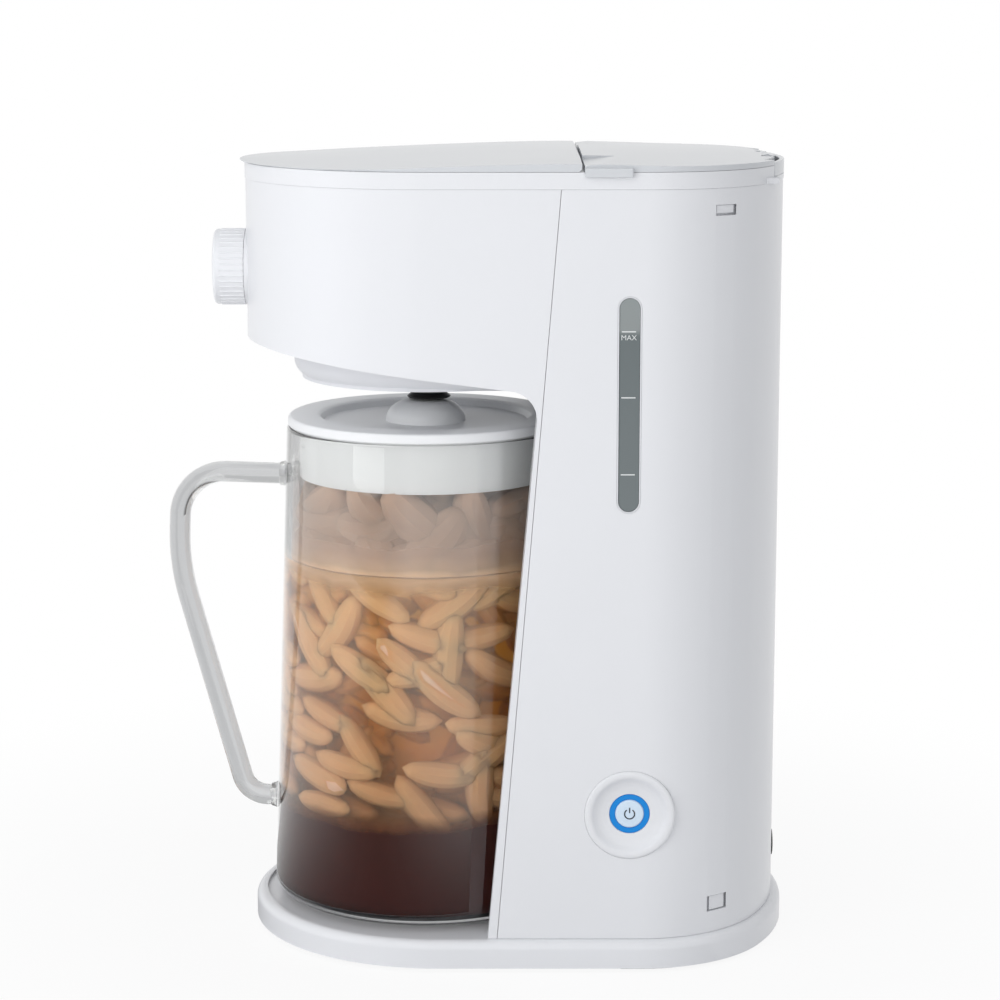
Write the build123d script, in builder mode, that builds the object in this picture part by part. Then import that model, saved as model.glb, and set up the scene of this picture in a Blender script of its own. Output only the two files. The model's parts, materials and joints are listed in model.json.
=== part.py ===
# Iced coffee maker: a head over a clear pitcher, and a column that holds the water tank.
# Millimetres, +Z up, the front faces -Y, and z = 0 is the surface that the feet stand on.
# The origin is the bottom centre of the machine with its pitcher in place.
import os
from math import atan2, cos, hypot, pi, sin, sqrt

from build123d import *

os.makedirs("parts", exist_ok=True)

# Plan of the body: a half circle in front, straight sides and a rounded back
BODY_HALF = 78.4
NOSE_Y = -21.0
BASE_NOSE_Y = -16.5
BACK_Y = 131.5
BACK_CORNER = 56.0
BACK_BOW = 101.0
FLANGE = 4.1
WALL = 2.4

# Levels
FOOT = 1.5
PLATFORM = 11.8
PAD_TOP = 13.5
PAD_R = 48.0
BASE_TOP = 13.4
SHELL_TOP = 330.0
COLLAR_TOP = 337.0
HEAD_LOW_FRONT = 262.0
HEAD_LOW_BACK = 247.4
HEAD_LOW_BACK_Y = 17.0
CUP_LOW = 244.0
VALVE_LOW = 233.9

# Slanted lines of the side view, as y at the base and y at the top
COLUMN_FRONT = (4.9, 33.9)
SEAM = (8.9, 35.0)
SEAM_GAP = 0.2

# Pitcher and the bay that it stands in
JUG_Y = -22.5
JUG_FOOT_R = 68.0
JUG_NECK_R = 60.6
JUG_TOP = 222.0
JUG_WALL = 2.6
JUG_ROUND = 12.0
BAY_R = 72.0
BAY_WALL = 2.2
BAY_SPARE = 3.0
POCKET_RISE = 0.8
LID_R = 60.0
LID_TOP = 227.0

# Brew cup, drip valve and spray head in the head
CUP_Y = -21.0
CUP_R = 55.0
CUP_HOLE_R = CUP_R + 0.6
CUP_TOP = 262.0
COVER_R = 58.4
COVER_ROUND = 8.0
BASKET_TOP = 308.0
VALVE_R = 9.6

# Lids, with each hinge pin as (y, z)
LID_BOTTOM = 337.15
LID_SPLIT = 43.2
LID_GAP = 1.1
LID_BELLY = 2400.0
TANK_LID_BACK = 127.6
BREW_PIN = (41.3, 339.0)
TANK_PIN = (124.0, 338.2)
PIN_R = 0.9
KNUCKLE_R = 1.9
LID_SWEEP = 2.85
BREW_EAR_X = 46.0
TANK_EAR_X = 14.0
EAR_WIDE = 6.0
POST_BACK, POST_DEEP = 0.6, 3.6

# Dial, button and window
DIAL_Z = 291.0
DIAL_R = 16.6
DIAL_FRONT = -113.3
DIAL_BACK = NOSE_Y - BODY_HALF - 0.5
BOSS_R = DIAL_R - 0.5
BOSS_GAP = 0.12
SHAFT_R = 3.0
BUTTON_Y = 64.6
BUTTON_Z = 67.8
WINDOW_Y = 63.0
WINDOW_LOW = 196.8
WINDOW_HIGH = 286.8
WINDOW_HALF = 5.0

# Snap slots in the casing, and the hooks behind them
SNAP_Y = 102.4
SNAP_LONG = 8.6
SNAPS = ((321.0, 4.4), (26.0, 6.8))
HOOK_GAP = 0.2
HOOK_THICK = 1.8
HOOK_SINK = 0.8
HOOK_LAP = 2.4
TOP_NOSE = (SNAPS[0][0] - 1.2, SNAPS[0][0] + 2.0)
TOP_REACH = (4.1, 3.2)
LOW_NOSE = (SNAPS[1][0] - 3.0, SNAPS[1][0] + 3.0)
LOW_REACH = (3.3, 3.3)

# Bottom plate, its screws and the feet
PLATE_INSET = WALL - FLANGE + 0.3
PLATE_THICK = 2.0
FRONT_FEET = ((52, -44), (-52, -44))
FOOT_R = 9.0
STRIP_LOW_Y, STRIP_HIGH_Y = 61.0, 108.0
STRIP_OUT, STRIP_WIDE = PLATE_INSET + 1.0, 8.0
SCREW_SPOTS = ((62, -8), (-62, -8), (50, 98), (-50, 98))
SCREW_HEAD_R, SCREW_R = 3.0, 1.6
HATCH_Y, HATCH_WIDE, HATCH_LONG = 92.0, 90.0, 40.0
VENT_Y, VENT_PITCH, VENT_COUNT = -20.0, 8.0, 9
VENT_WIDE, VENT_LONG = 3.0, 30.0

# Collar, and the rear hinge cover
COLLAR_PROUD = 0.3
COLLAR_IN = 9.0
COLLAR_LOW = SHELL_TOP + 0.08
BAR_LOW, BAR_HIGH = COLLAR_LOW, 332.4
COVER_HALF = 37.0
COVER_THICK = 1.8
COVER_SPARE = 2.0
COVER_TOP = LID_BOTTOM + 1.2
BREW_BAR_Y, BREW_BAR_WIDE = 40.0, 2 * (BODY_HALF - COLLAR_IN) + 2
TANK_BAR_Y, TANK_BAR_WIDE = TANK_PIN[0] - 6, 92.0
BAR_LONG = 16.0
GAP_RIB_Y = 44.4
GAP_RIB_LONG = 3.2
GAP_RIB_TOP = COLLAR_TOP - 0.1

# Crowned top of the lids as (y, z), the front lip and the finger tabs
CROWN = ((-104, 338.0), (-45, 339.1), (15, 341.3), (45, 341.6), (85, 340.6), (118, 339.9), (134, 338.8))
LID_RING_R = BODY_HALF - COLLAR_IN - 0.8
LIP_OUT = 1.9
LIP_LOW = LID_BOTTOM + 0.4
TAB_HALF = BODY_HALF + 2.8
TAB_BACK = 64.0
TAB_LOW, TAB_HIGH = 335.3, 338.8

# Basket and drip valve
SPOUT_R = 7.0
BASKET_R = 49.0
VALVE_STEM_R = 3.2
VALVE_SHOULDER = CUP_LOW + 1.6
SPRING_LOW, SPRING_HIGH = VALVE_SHOULDER + 0.5, CUP_TOP - 5.0

# Tank, heater, riser and spray head
TANK_INSET = WALL + 2.4
TANK_WALL = 1.8
TANK_LOW = 92.0
TANK_TOP = 312.0
HEATER_Z = 34.0
HEATER_R = 7.0
HEATER_X = 30.0
HEATER_Y = 92.0
HEATER_END_Y = 112.0
HOSE_R = 4.0
OUTLET_Y = 117.0
RISER = (-60.0, 52.0)
RISER_R = 4.0
SPRAY_R = 34.0
SPRAY_LOW = 309.5
SPRAY_PIPE_Z = 319.0

# Level marks, button, dial and mains inlet
MARK_HEIGHTS = (272.3, 245.1, 213.1)
BEZEL_R = 19.1
BEZEL_BACK = BODY_HALF - 4.0
BEZEL_RIM = ((0, 0), (0.3, 0.5), (1.0, 0.9), (2.0, 1.0), (3.0, 0.7), (4.2, -0.3), (5.6, -1.1), (7.6, -1.7))
RING_OUT, RING_IN = 8.4, 6.2
BOARD_X, BOARD_SIDE = 64.0, 34.0
BOARD_SCREWS = ((13, 13), (-13, -13), (-13, 13), (13, -13))
DIAL_RIB_COUNT = 40
RIB_R = 0.55
DISC_Y = -78.0
GLAND_Z = 32.0
GLAND_R = 6.0

# Pitcher: jug, lid, skirt and handle
JUG_LOW = PAD_TOP + 0.05
JUG_FLOOR = 4.0
DOME_R = 17.4
DOME_TOP = 233.3
DOME_FLAT = 5.0
DOME_STEPS = 10
RECESS_Z = LID_TOP - 3.2
RECESS_R = 44.5
SKIRT_R = 55.6
SKIRT_LOW = 200.5
COFFEE_TOP = 166.0
ROD_R = 4.6
ROD_TOP_Z = 200.0
ROD_LOW_Z = 53.0
ROD_KNEE_Z = 160.0
ROD_BENDS = (20, 100, 12)
NECK_FACE = JUG_Y - JUG_NECK_R - 1.4
FOOT_FACE = JUG_Y - JUG_FOOT_R + 1.2
ROD_BULGE = -0.037
ROD_FRONT = -(BACK_Y + FLANGE) + ROD_R + ROD_BULGE

# Ice
ICE_RINGS, ICE_PER_RING = 9, 8
ICE_LOW, ICE_STEP = 62.0, 14.2
ICE_R = 49.0
ICE_HALF, ICE_THICK = 16.0, 11.0
ICE_LEAN = 12.0


def plan_face(inset, height, nose=NOSE_Y):
    """The body's outline, drawn in by inset, on the plane at height."""
    half = BODY_HALF - inset
    corner = BACK_CORNER - inset
    bow = BACK_BOW - inset
    back = BACK_Y - inset
    bow_y = back - bow
    corner_x = half - corner
    corner_y = bow_y + sqrt((bow - corner) ** 2 - corner_x**2)
    turn = atan2(corner_y - bow_y, corner_x)
    join = (bow * cos(turn), bow_y + bow * sin(turn))
    middle = (corner_x + corner * cos(turn / 2), corner_y + corner * sin(turn / 2))
    with BuildSketch(Plane.XY.offset(height)) as plan:
        with BuildLine():
            ThreePointArc((-half, nose), (0, nose - half), (half, nose))
            Line((half, nose), (half, corner_y))
            ThreePointArc((half, corner_y), middle, join)
            ThreePointArc(join, (0, back), (-join[0], join[1]))
            ThreePointArc((-join[0], join[1]), (-middle[0], middle[1]), (-half, corner_y))
            Line((-half, corner_y), (-half, nose))
        make_face()
    return plan.sketch


def side_face(*points):
    """A straight-edged outline of (y, z) points on the plane x = 0."""
    with BuildSketch(Plane.YZ) as side:
        with BuildLine():
            Polyline(*points, close=True)
        make_face()
    return side.sketch


def slant(line, height):
    """The y of a slanted side line at a height."""
    share = (height - BASE_TOP) / (SHELL_TOP - BASE_TOP)
    return line[0] + (line[1] - line[0]) * share


def head_low(y):
    """The height of the head's slanted underside at a y."""
    fall = (HEAD_LOW_BACK - HEAD_LOW_FRONT) / (HEAD_LOW_BACK_Y - (NOSE_Y - BODY_HALF))
    return HEAD_LOW_BACK + (y - HEAD_LOW_BACK_Y) * fall


def ahead_face(line, gap):
    """All that lies ahead of a slanted side line, moved forward by gap."""
    low, high = -10.0, 400.0
    return side_face(
        (-150, low), (slant(line, low) - gap, low), (slant(line, high) - gap, high), (-150, high)
    )


def bay_face():
    """Side view of the open bay under the head, its inner corner rounded."""
    corner_z = head_low(slant(COLUMN_FRONT, HEAD_LOW_BACK))
    corner = (slant(COLUMN_FRONT, corner_z), corner_z)
    with BuildSketch(Plane.YZ) as bay:
        with BuildLine():
            low = (slant(COLUMN_FRONT, 0), 0)
            FilletPolyline((-150, 0), low, corner, (-150, head_low(-150)), radius=12, close=False)
            Line((-150, head_low(-150)), (-150, 0))
        make_face()
    return bay.sketch


def column_of(radius, low, high, y=JUG_Y, x=0.0):
    """A solid upright cylinder."""
    with BuildPart() as column:
        with BuildSketch(Plane.XY.offset(low)):
            with Locations((x, y)):
                Circle(radius)
        extrude(amount=high - low)
    return column.part


def dial_round(y_low, y_high, radius, bore=0.0):
    """A round piece on the dial's axis between two y values."""
    with BuildPart() as body:
        with BuildSketch(Plane.XZ.offset(-y_high)):
            with Locations((0, DIAL_Z)):
                Circle(radius)
                if bore:
                    Circle(bore, mode=Mode.SUBTRACT)
        extrude(amount=y_high - y_low)
    return body.part


def finish(builder, name):
    """Label a finished piece and write it as a STEP file."""
    builder.part.label = name
    export_step(builder.part, f"parts/{name}.step")


# Front shell: the head's skin, its slanted floor and the pocket round the pitcher
def pocket_wall():
    """The curved wall behind the pitcher, from the base up to the head's floor."""
    with BuildPart() as pocket:
        with BuildSketch(Plane.XY.offset(BASE_TOP)):
            with Locations((0, JUG_Y)):
                Circle(BAY_R + BAY_WALL)
                Circle(BAY_R, mode=Mode.SUBTRACT)
        extrude(amount=HEAD_LOW_BACK - BASE_TOP)
        extrude(ahead_face(COLUMN_FRONT, BAY_SPARE), amount=100, both=True, mode=Mode.SUBTRACT)
    return pocket.part


def column_strips():
    """The two narrow faces of the column, either side of the pocket."""
    with BuildPart() as strips:
        extrude(plan_face(WALL / 2, BASE_TOP), amount=HEAD_LOW_BACK - BASE_TOP)
        extrude(ahead_face(COLUMN_FRONT, -WALL), amount=100, both=True, mode=Mode.INTERSECT)
        extrude(ahead_face(COLUMN_FRONT, BAY_SPARE), amount=100, both=True, mode=Mode.SUBTRACT)
        extrude(ahead_face(SEAM, SEAM_GAP), amount=100, both=True, mode=Mode.INTERSECT)
        add(column_of(BAY_R + BAY_WALL / 2, 0, SHELL_TOP), mode=Mode.SUBTRACT)
    return strips.part


def head_floor():
    """The slanted floor of the head, closed at the back by the pocket."""
    front, back = -100.0, JUG_Y + BAY_R + BAY_WALL / 2
    with BuildPart() as floor:
        extrude(plan_face(WALL / 2, HEAD_LOW_BACK - 10), amount=40)
        slab = side_face(
            (front, head_low(front) - BAY_SPARE),
            (back, head_low(back) - BAY_SPARE),
            (back, head_low(back) + WALL),
            (front, head_low(front) + WALL),
        )
        extrude(slab, amount=100, both=True, mode=Mode.INTERSECT)
        ring = column_of(200, 0, SHELL_TOP) - column_of(BAY_R + BAY_WALL / 2, 0, SHELL_TOP)
        behind = ring - ahead_solid(COLUMN_FRONT, -WALL / 2)
        add(behind, mode=Mode.SUBTRACT)
        add(column_of(CUP_HOLE_R, 0, SHELL_TOP, CUP_Y), mode=Mode.SUBTRACT)
    return floor.part


def ahead_solid(line, gap):
    """The solid form of ahead_face."""
    with BuildPart() as ahead:
        extrude(ahead_face(line, gap), amount=220, both=True)
    return ahead.part


def bay_room():
    """What the open bay takes out: its side view, and the pitcher's pocket behind it."""
    front, back = HEAD_LOW_BACK_Y, JUG_Y + BAY_R + 5
    with BuildPart() as room:
        ceiling = ((back, head_low(back) + POCKET_RISE), (front, head_low(front) + POCKET_RISE))
        extrude(side_face((front, -1), (back, -1), *ceiling), amount=100, both=True)
        add(column_of(BAY_R, -2, SHELL_TOP), mode=Mode.INTERSECT)
        extrude(bay_face(), amount=100, both=True)
    return room.part


with BuildPart() as front_shell:
    extrude(plan_face(0, BASE_TOP), amount=SHELL_TOP - BASE_TOP)
    extrude(plan_face(WALL, BASE_TOP), amount=SHELL_TOP - BASE_TOP, mode=Mode.SUBTRACT)
    extrude(ahead_face(SEAM, SEAM_GAP), amount=100, both=True, mode=Mode.INTERSECT)
    add(pocket_wall())
    add(column_strips())
    add(head_floor())
    add(bay_room(), mode=Mode.SUBTRACT)
    add(dial_round(DIAL_BACK + BOSS_GAP, DIAL_BACK + 0.5 + WALL, BOSS_R))
    with Locations(Plane.XZ.offset(-NOSE_Y + BODY_HALF)):
        with Locations((0, DIAL_Z)):
            Hole(SHAFT_R + 2.0, depth=WALL + 3)
finish(front_shell, "front_shell")


# Rear casing: sides and back of the column, open at the top and the bottom


def window_face(x, half, grow=0.0):
    """The upright pill of the level window on the plane at x."""
    tall = WINDOW_HIGH - WINDOW_LOW + 2 * grow
    with BuildSketch(Plane.YZ.offset(x)) as pill:
        with Locations((WINDOW_Y, (WINDOW_HIGH + WINDOW_LOW) / 2)):
            SlotOverall(tall, 2 * (half + grow), rotation=90)
    return pill.sketch


with BuildPart() as rear_casing:
    extrude(plan_face(0, BASE_TOP), amount=SHELL_TOP - BASE_TOP)
    extrude(plan_face(WALL, BASE_TOP), amount=SHELL_TOP - BASE_TOP, mode=Mode.SUBTRACT)
    add(ahead_solid(SEAM, 0), mode=Mode.SUBTRACT)
    extrude(window_face(BODY_HALF - 2 * WALL, WINDOW_HALF), amount=4 * WALL, mode=Mode.SUBTRACT)
    with Locations(Plane.YZ.offset(BODY_HALF)):
        with Locations((BUTTON_Y, BUTTON_Z)):
            Hole(BEZEL_R + 0.05, depth=2 * WALL)
    with Locations(Plane.XZ.offset(-BACK_Y)):
        with Locations((0, GLAND_Z)):
            Cylinder(GLAND_R + 0.2, 4 * WALL, mode=Mode.SUBTRACT)
    for slot_z, slot_tall in SNAPS:
        with Locations((70, SNAP_Y, slot_z), (-70, SNAP_Y, slot_z)):
            Box(24, SNAP_LONG, slot_tall, mode=Mode.SUBTRACT)
finish(rear_casing, "rear_casing")


def hook_band(depth, thick, low, high, ahead, behind):
    """Two strips along the casing's wall, from a depth inward, round the snap slots' middle."""
    with BuildPart() as band:
        extrude(plan_face(depth, low), amount=high - low)
        extrude(plan_face(depth + thick, low), amount=high - low, mode=Mode.SUBTRACT)
        with Locations((0, SNAP_Y + (behind - ahead) / 2, (low + high) / 2)):
            Box(200, ahead + behind, high - low, mode=Mode.INTERSECT)
    return band.part


def snap_hooks(leg, nose, nose_reach):
    """Two legs behind the casing's snap slots, with noses that reach into the slots.

    leg and nose are (low, high) heights; nose_reach is how far the nose goes ahead and behind.
    """
    wide = SNAP_LONG / 2 + HOOK_LAP
    depth = WALL + HOOK_GAP
    legs = hook_band(depth, HOOK_THICK, *leg, wide, wide)
    return legs + hook_band(HOOK_SINK, depth + HOOK_THICK / 2 - HOOK_SINK, *nose, *nose_reach)


# Base: a hollow tray with a rounded flange and a recessed platform for the pitcher
def platform_dish():
    """What the recessed platform takes out of the base's top."""
    with BuildPart() as dish:
        extrude(plan_face(0.8, PLATFORM, BASE_NOSE_Y), amount=5)
        extrude(ahead_face(COLUMN_FRONT, 0.4), amount=100, both=True, mode=Mode.INTERSECT)
        add(column_of(BAY_R - 0.2, PLATFORM, PLATFORM + 5))
    return dish.part


with BuildPart() as base_housing:
    extrude(plan_face(-FLANGE, FOOT, BASE_NOSE_Y), amount=BASE_TOP - FOOT - 0.1)
    rim = base_housing.edges().group_by(Axis.Z)[-1]
    fillet(rim, radius=FLANGE - 0.2)
    extrude(plan_face(WALL - FLANGE, FOOT, BASE_NOSE_Y), amount=PLATFORM - WALL - FOOT, mode=Mode.SUBTRACT)
    add(platform_dish(), mode=Mode.SUBTRACT)
    add(column_of(PAD_R, PLATFORM - 1, PAD_TOP))
    with Locations((0, HATCH_Y, PLATFORM)):
        Box(HATCH_WIDE, HATCH_LONG, 20, mode=Mode.SUBTRACT)
    add(snap_hooks((PLATFORM, LOW_NOSE[1] + HOOK_LAP), LOW_NOSE, LOW_REACH))
finish(base_housing, "base_housing")


# Bottom plate with its screws, and the rubber feet set into it


def foot_strips(grow, low, high):
    """The two curved rubber strips under the rear corners."""
    with BuildPart() as strips:
        extrude(plan_face(STRIP_OUT - grow, low, BASE_NOSE_Y), amount=high - low)
        inner = plan_face(STRIP_OUT + STRIP_WIDE + grow, low, BASE_NOSE_Y)
        extrude(inner, amount=high - low, mode=Mode.SUBTRACT)
        with Locations((0, (STRIP_LOW_Y + STRIP_HIGH_Y) / 2, (low + high) / 2)):
            length = STRIP_HIGH_Y - STRIP_LOW_Y + 2 * grow
            Box(200, length, high - low, mode=Mode.INTERSECT)
    return strips.part


with BuildPart() as bottom_plate:
    extrude(plan_face(PLATE_INSET, FOOT, BASE_NOSE_Y), amount=PLATE_THICK)
    with Locations(*[(x, y, FOOT) for x, y in FRONT_FEET]):
        Cylinder(FOOT_R + 0.1, 2.0, mode=Mode.SUBTRACT)
    add(foot_strips(0.1, FOOT - 1, FOOT + 1), mode=Mode.SUBTRACT)
    with Locations(*[(x, y, FOOT) for x, y in SCREW_SPOTS]):
        Cylinder(SCREW_HEAD_R + 0.2, 2.4, mode=Mode.SUBTRACT)
        Cylinder(SCREW_R + 0.2, 20, mode=Mode.SUBTRACT)
    with Locations((0, VENT_Y, FOOT)):
        with GridLocations(VENT_PITCH, 0, VENT_COUNT, 1):
            Box(VENT_WIDE, VENT_LONG, 20, mode=Mode.SUBTRACT)
finish(bottom_plate, "bottom_plate")

with BuildPart() as feet:
    for x, y in FRONT_FEET:
        add(column_of(FOOT_R, 0, FOOT + 1.0, y, x))
    add(foot_strips(0, 0, FOOT + 1.0))
finish(feet, "rubber_feet")

with BuildPart() as base_screws:
    for x, y in SCREW_SPOTS:
        add(column_of(SCREW_HEAD_R, FOOT, FOOT + 1.1, y, x))
        add(column_of(SCREW_R, FOOT + 1.0, PLATFORM - WALL - 0.1, y, x))
finish(base_screws, "base_screws")


# Collar: the band between the shells and the lids, with the posts of both hinges


def hinge_post(pin, x, foot_y):
    """An upright ear round a pin, standing on the bar below it."""
    y, z = pin
    with BuildPart() as post:
        with BuildSketch(Plane.YZ.offset(x - EAR_WIDE / 2)):
            with Locations((y - POST_BACK, (z + BAR_LOW) / 2)):
                Rectangle(POST_DEEP, z - BAR_LOW)
            with Locations((y, z)):
                Circle(PIN_R + 0.3)
            with Locations((foot_y, (BAR_LOW + BAR_HIGH) / 2)):
                Rectangle(abs(foot_y - y) * 2, BAR_HIGH - BAR_LOW)
        extrude(amount=EAR_WIDE)
        with BuildSketch(Plane.YZ.offset(x - EAR_WIDE)):
            with Locations((y, z)):
                Circle(PIN_R + 0.02)
        extrude(amount=2 * EAR_WIDE, mode=Mode.SUBTRACT)
    return post.part


with BuildPart() as collar:
    extrude(plan_face(-COLLAR_PROUD, COLLAR_LOW), amount=COLLAR_TOP - COLLAR_LOW)
    extrude(plan_face(COLLAR_IN, COLLAR_LOW), amount=COLLAR_TOP - COLLAR_LOW, mode=Mode.SUBTRACT)
    with Locations((0, TANK_PIN[0] + 2, COLLAR_TOP)):
        Box(2 * COVER_HALF + 1, 18, 2 * (COLLAR_TOP - BAR_HIGH), mode=Mode.SUBTRACT)
    for bar_y, bar_wide in ((BREW_BAR_Y, BREW_BAR_WIDE), (TANK_BAR_Y, TANK_BAR_WIDE)):
        with Locations((0, bar_y, (BAR_LOW + BAR_HIGH) / 2)):
            Box(bar_wide, BAR_LONG, BAR_HIGH - BAR_LOW)
    with Locations((0, GAP_RIB_Y, (BAR_LOW + GAP_RIB_TOP) / 2)):
        Box(BREW_BAR_WIDE, GAP_RIB_LONG, GAP_RIB_TOP - BAR_LOW)
    for side in (-1, 1):
        add(hinge_post(BREW_PIN, side * BREW_EAR_X, BREW_PIN[0] + 1))
        add(hinge_post(TANK_PIN, side * TANK_EAR_X, TANK_PIN[0] - 3))
    add(snap_hooks((TOP_NOSE[0] - HOOK_LAP, COLLAR_LOW + 0.5), TOP_NOSE, TOP_REACH))
finish(collar, "top_collar")

with BuildPart() as hinge_cover:
    extrude(plan_face(-COLLAR_PROUD, BAR_HIGH), amount=COVER_TOP - BAR_HIGH)
    extrude(plan_face(COVER_THICK, BAR_HIGH), amount=10, mode=Mode.SUBTRACT)
    with Locations((0, BACK_Y, COLLAR_TOP)):
        Box(2 * COVER_HALF, 60, 30, mode=Mode.INTERSECT)
finish(hinge_cover, "rear_hinge_cover")


# Lids: one crowned surface, parted across the body behind the brew lid's hinge


def crown_solid():
    """Everything under the lids' crowned top, cut level at the lids' underside."""
    axis_z = LID_BOTTOM - LID_BELLY
    with BuildPart() as crown:
        with BuildSketch(Plane.YZ):
            with BuildLine():
                Spline(*CROWN)
                Polyline(CROWN[-1], (CROWN[-1][0], LID_BOTTOM), (CROWN[0][0], LID_BOTTOM), CROWN[0])
            make_face()
        revolve(axis=Axis((0, 0, axis_z), (0, 1, 0)), revolution_arc=5)
    half = crown.part.rotate(Axis((0, 0, axis_z), (0, 1, 0)), -2.5)
    return half


def hinge_pockets(pin, ear_x, top):
    """Room in a lid for the collar's ears."""
    with BuildPart() as pockets:
        with Locations((ear_x, pin[0], (300 + top) / 2), (-ear_x, pin[0], (300 + top) / 2)):
            Box(EAR_WIDE + 0.8, 16, top - 300)
    return pockets.part


def pin_bore(pin, radius, half):
    """A long cylinder along X at a hinge pin."""
    with BuildPart() as bore:
        with BuildSketch(Plane.YZ.offset(-half)):
            with Locations(pin):
                Circle(radius)
        extrude(amount=2 * half)
    return bore.part


def knuckles(pin, ear_x):
    """The lid's two barrels on the pin, inboard of the ears."""
    wide = 10.0
    inner = ear_x - EAR_WIDE / 2 - 0.4 - wide
    with BuildPart() as barrels:
        for start in (inner, -inner - wide):
            with BuildSketch(Plane.YZ.offset(start)):
                with Locations(pin):
                    Circle(KNUCKLE_R)
            extrude(amount=wide)
    return barrels.part


def lid_blank(low_y, high_y, pin, ear_x):
    """A piece of the crowned top between two y values, with its hinge made in it."""
    pocket_top = pin[1] + PIN_R + 0.6
    with BuildPart() as blank:
        extrude(plan_face(-COLLAR_PROUD, LID_BOTTOM), amount=10)
        add(crown_solid(), mode=Mode.INTERSECT)
        with Locations((0, (low_y + high_y) / 2, LID_BOTTOM)):
            Box(200, high_y - low_y, 40, mode=Mode.INTERSECT)
        add(knuckles(pin, ear_x))
        add(hinge_pockets(pin, ear_x, pocket_top), mode=Mode.SUBTRACT)
        add(pin_bore(pin, PIN_R + 0.06, ear_x + 4.5), mode=Mode.SUBTRACT)
    return blank.part


def rear_corner(radius, rise):
    """What lies behind the brew lid's pin, below it or above it, beyond a radius round it."""
    with BuildPart() as corner:
        with Locations((0, BREW_PIN[0] + 5, BREW_PIN[1] + rise)):
            Box(200, 10, 10)
        add(pin_bore(BREW_PIN, radius, 110), mode=Mode.SUBTRACT)
    return corner.part


def front_lip():
    """The thin lip at the nose of the brew lid, to lift it by."""
    with BuildPart() as lip:
        with BuildSketch(Plane.XY.offset(LIP_LOW)):
            with Locations((0, NOSE_Y - LIP_OUT)):
                Circle(BODY_HALF + COLLAR_PROUD)
        extrude(amount=10)
        add(crown_solid(), mode=Mode.INTERSECT)
        with Locations((0, NOSE_Y - BODY_HALF, LIP_LOW)):
            Box(200, 2 * BODY_HALF, 30, mode=Mode.INTERSECT)
    return lip.part


with BuildPart() as brew_lid:
    add(lid_blank(-120, LID_SPLIT, BREW_PIN, BREW_EAR_X))
    add(front_lip())
    add(rear_corner(KNUCKLE_R, -5), mode=Mode.SUBTRACT)
    add(rear_corner(LID_SWEEP, 5), mode=Mode.SUBTRACT)
    with BuildSketch(Plane.XY.offset(LID_BOTTOM - 3)):
        with Locations((0, NOSE_Y)):
            Circle(LID_RING_R)
            Circle(LID_RING_R - 2.0, mode=Mode.SUBTRACT)
            with Locations((0, 60)):
                Rectangle(200, 80, mode=Mode.SUBTRACT)
    extrude(amount=3.2)
finish(brew_lid, "brew_lid")


def finger_tab():
    """The lip that hangs over the collar at both sides of the tank lid."""
    front = LID_SPLIT + LID_GAP + 0.1
    with BuildPart() as tab:
        with Locations((0, (front + TAB_BACK) / 2, (LID_BOTTOM + TAB_HIGH) / 2)):
            Box(2 * TAB_HALF, TAB_BACK - front, TAB_HIGH - LID_BOTTOM)
        for side in (-1, 1):
            with Locations((side * (TAB_HALF - 1.0), (front + TAB_BACK) / 2, (TAB_LOW + TAB_HIGH) / 2)):
                Box(2.0, TAB_BACK - front, TAB_HIGH - TAB_LOW)
        fillet(tab.edges().filter_by(Axis.Z).group_by(Axis.Y)[-1], radius=0.9)
    return tab.part


def finger_scoop():
    """The shallow slope that leads a finger to the tab, fading out to the back."""
    with BuildPart() as scoop:
        with BuildSketch(Plane.YZ.offset(38)):
            with BuildLine():
                front, back = LID_SPLIT, TAB_BACK + 8
                Polyline((front, 350), (front, TAB_HIGH + 0.8), (back, 342.4), (back, 350), close=True)
            make_face()
        extrude(amount=60)
    return scoop.part


def cover_room():
    """What the rear hinge cover takes out of the tank lid."""
    with BuildPart() as room:
        with Locations((0, BACK_Y, LID_BOTTOM)):
            Box(2 * COVER_HALF + 1, 60, 20)
        extrude(plan_face(COVER_THICK + COVER_SPARE, LID_BOTTOM - 10), amount=20, mode=Mode.SUBTRACT)
    return room.part


with BuildPart() as tank_lid:
    add(lid_blank(LID_SPLIT + LID_GAP, TANK_LID_BACK, TANK_PIN, TANK_EAR_X))
    add(cover_room(), mode=Mode.SUBTRACT)
    add(finger_tab())
    add(finger_scoop(), mode=Mode.SUBTRACT)
    add(mirror(finger_scoop(), about=Plane.YZ), mode=Mode.SUBTRACT)
finish(tank_lid, "tank_lid")

with BuildPart() as brew_pin:
    add(pin_bore(BREW_PIN, PIN_R, BREW_EAR_X + 4))
finish(brew_pin, "brew_lid_pin")

with BuildPart() as tank_pin:
    add(pin_bore(TANK_PIN, PIN_R, TANK_EAR_X + 4))
finish(tank_pin, "tank_lid_pin")


# Brew cup: the grey cover under the head, with the basket, filter and drip valve
def turned(*points, y=CUP_Y):
    """A solid turned round an upright axis from (radius, height) points."""
    with BuildPart() as body:
        with BuildSketch(Plane.XZ):
            with BuildLine():
                Polyline(*points, close=True)
            make_face()
        revolve(axis=Axis.Z)
    return body.part.moved(Location((0, y, 0)))


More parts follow.
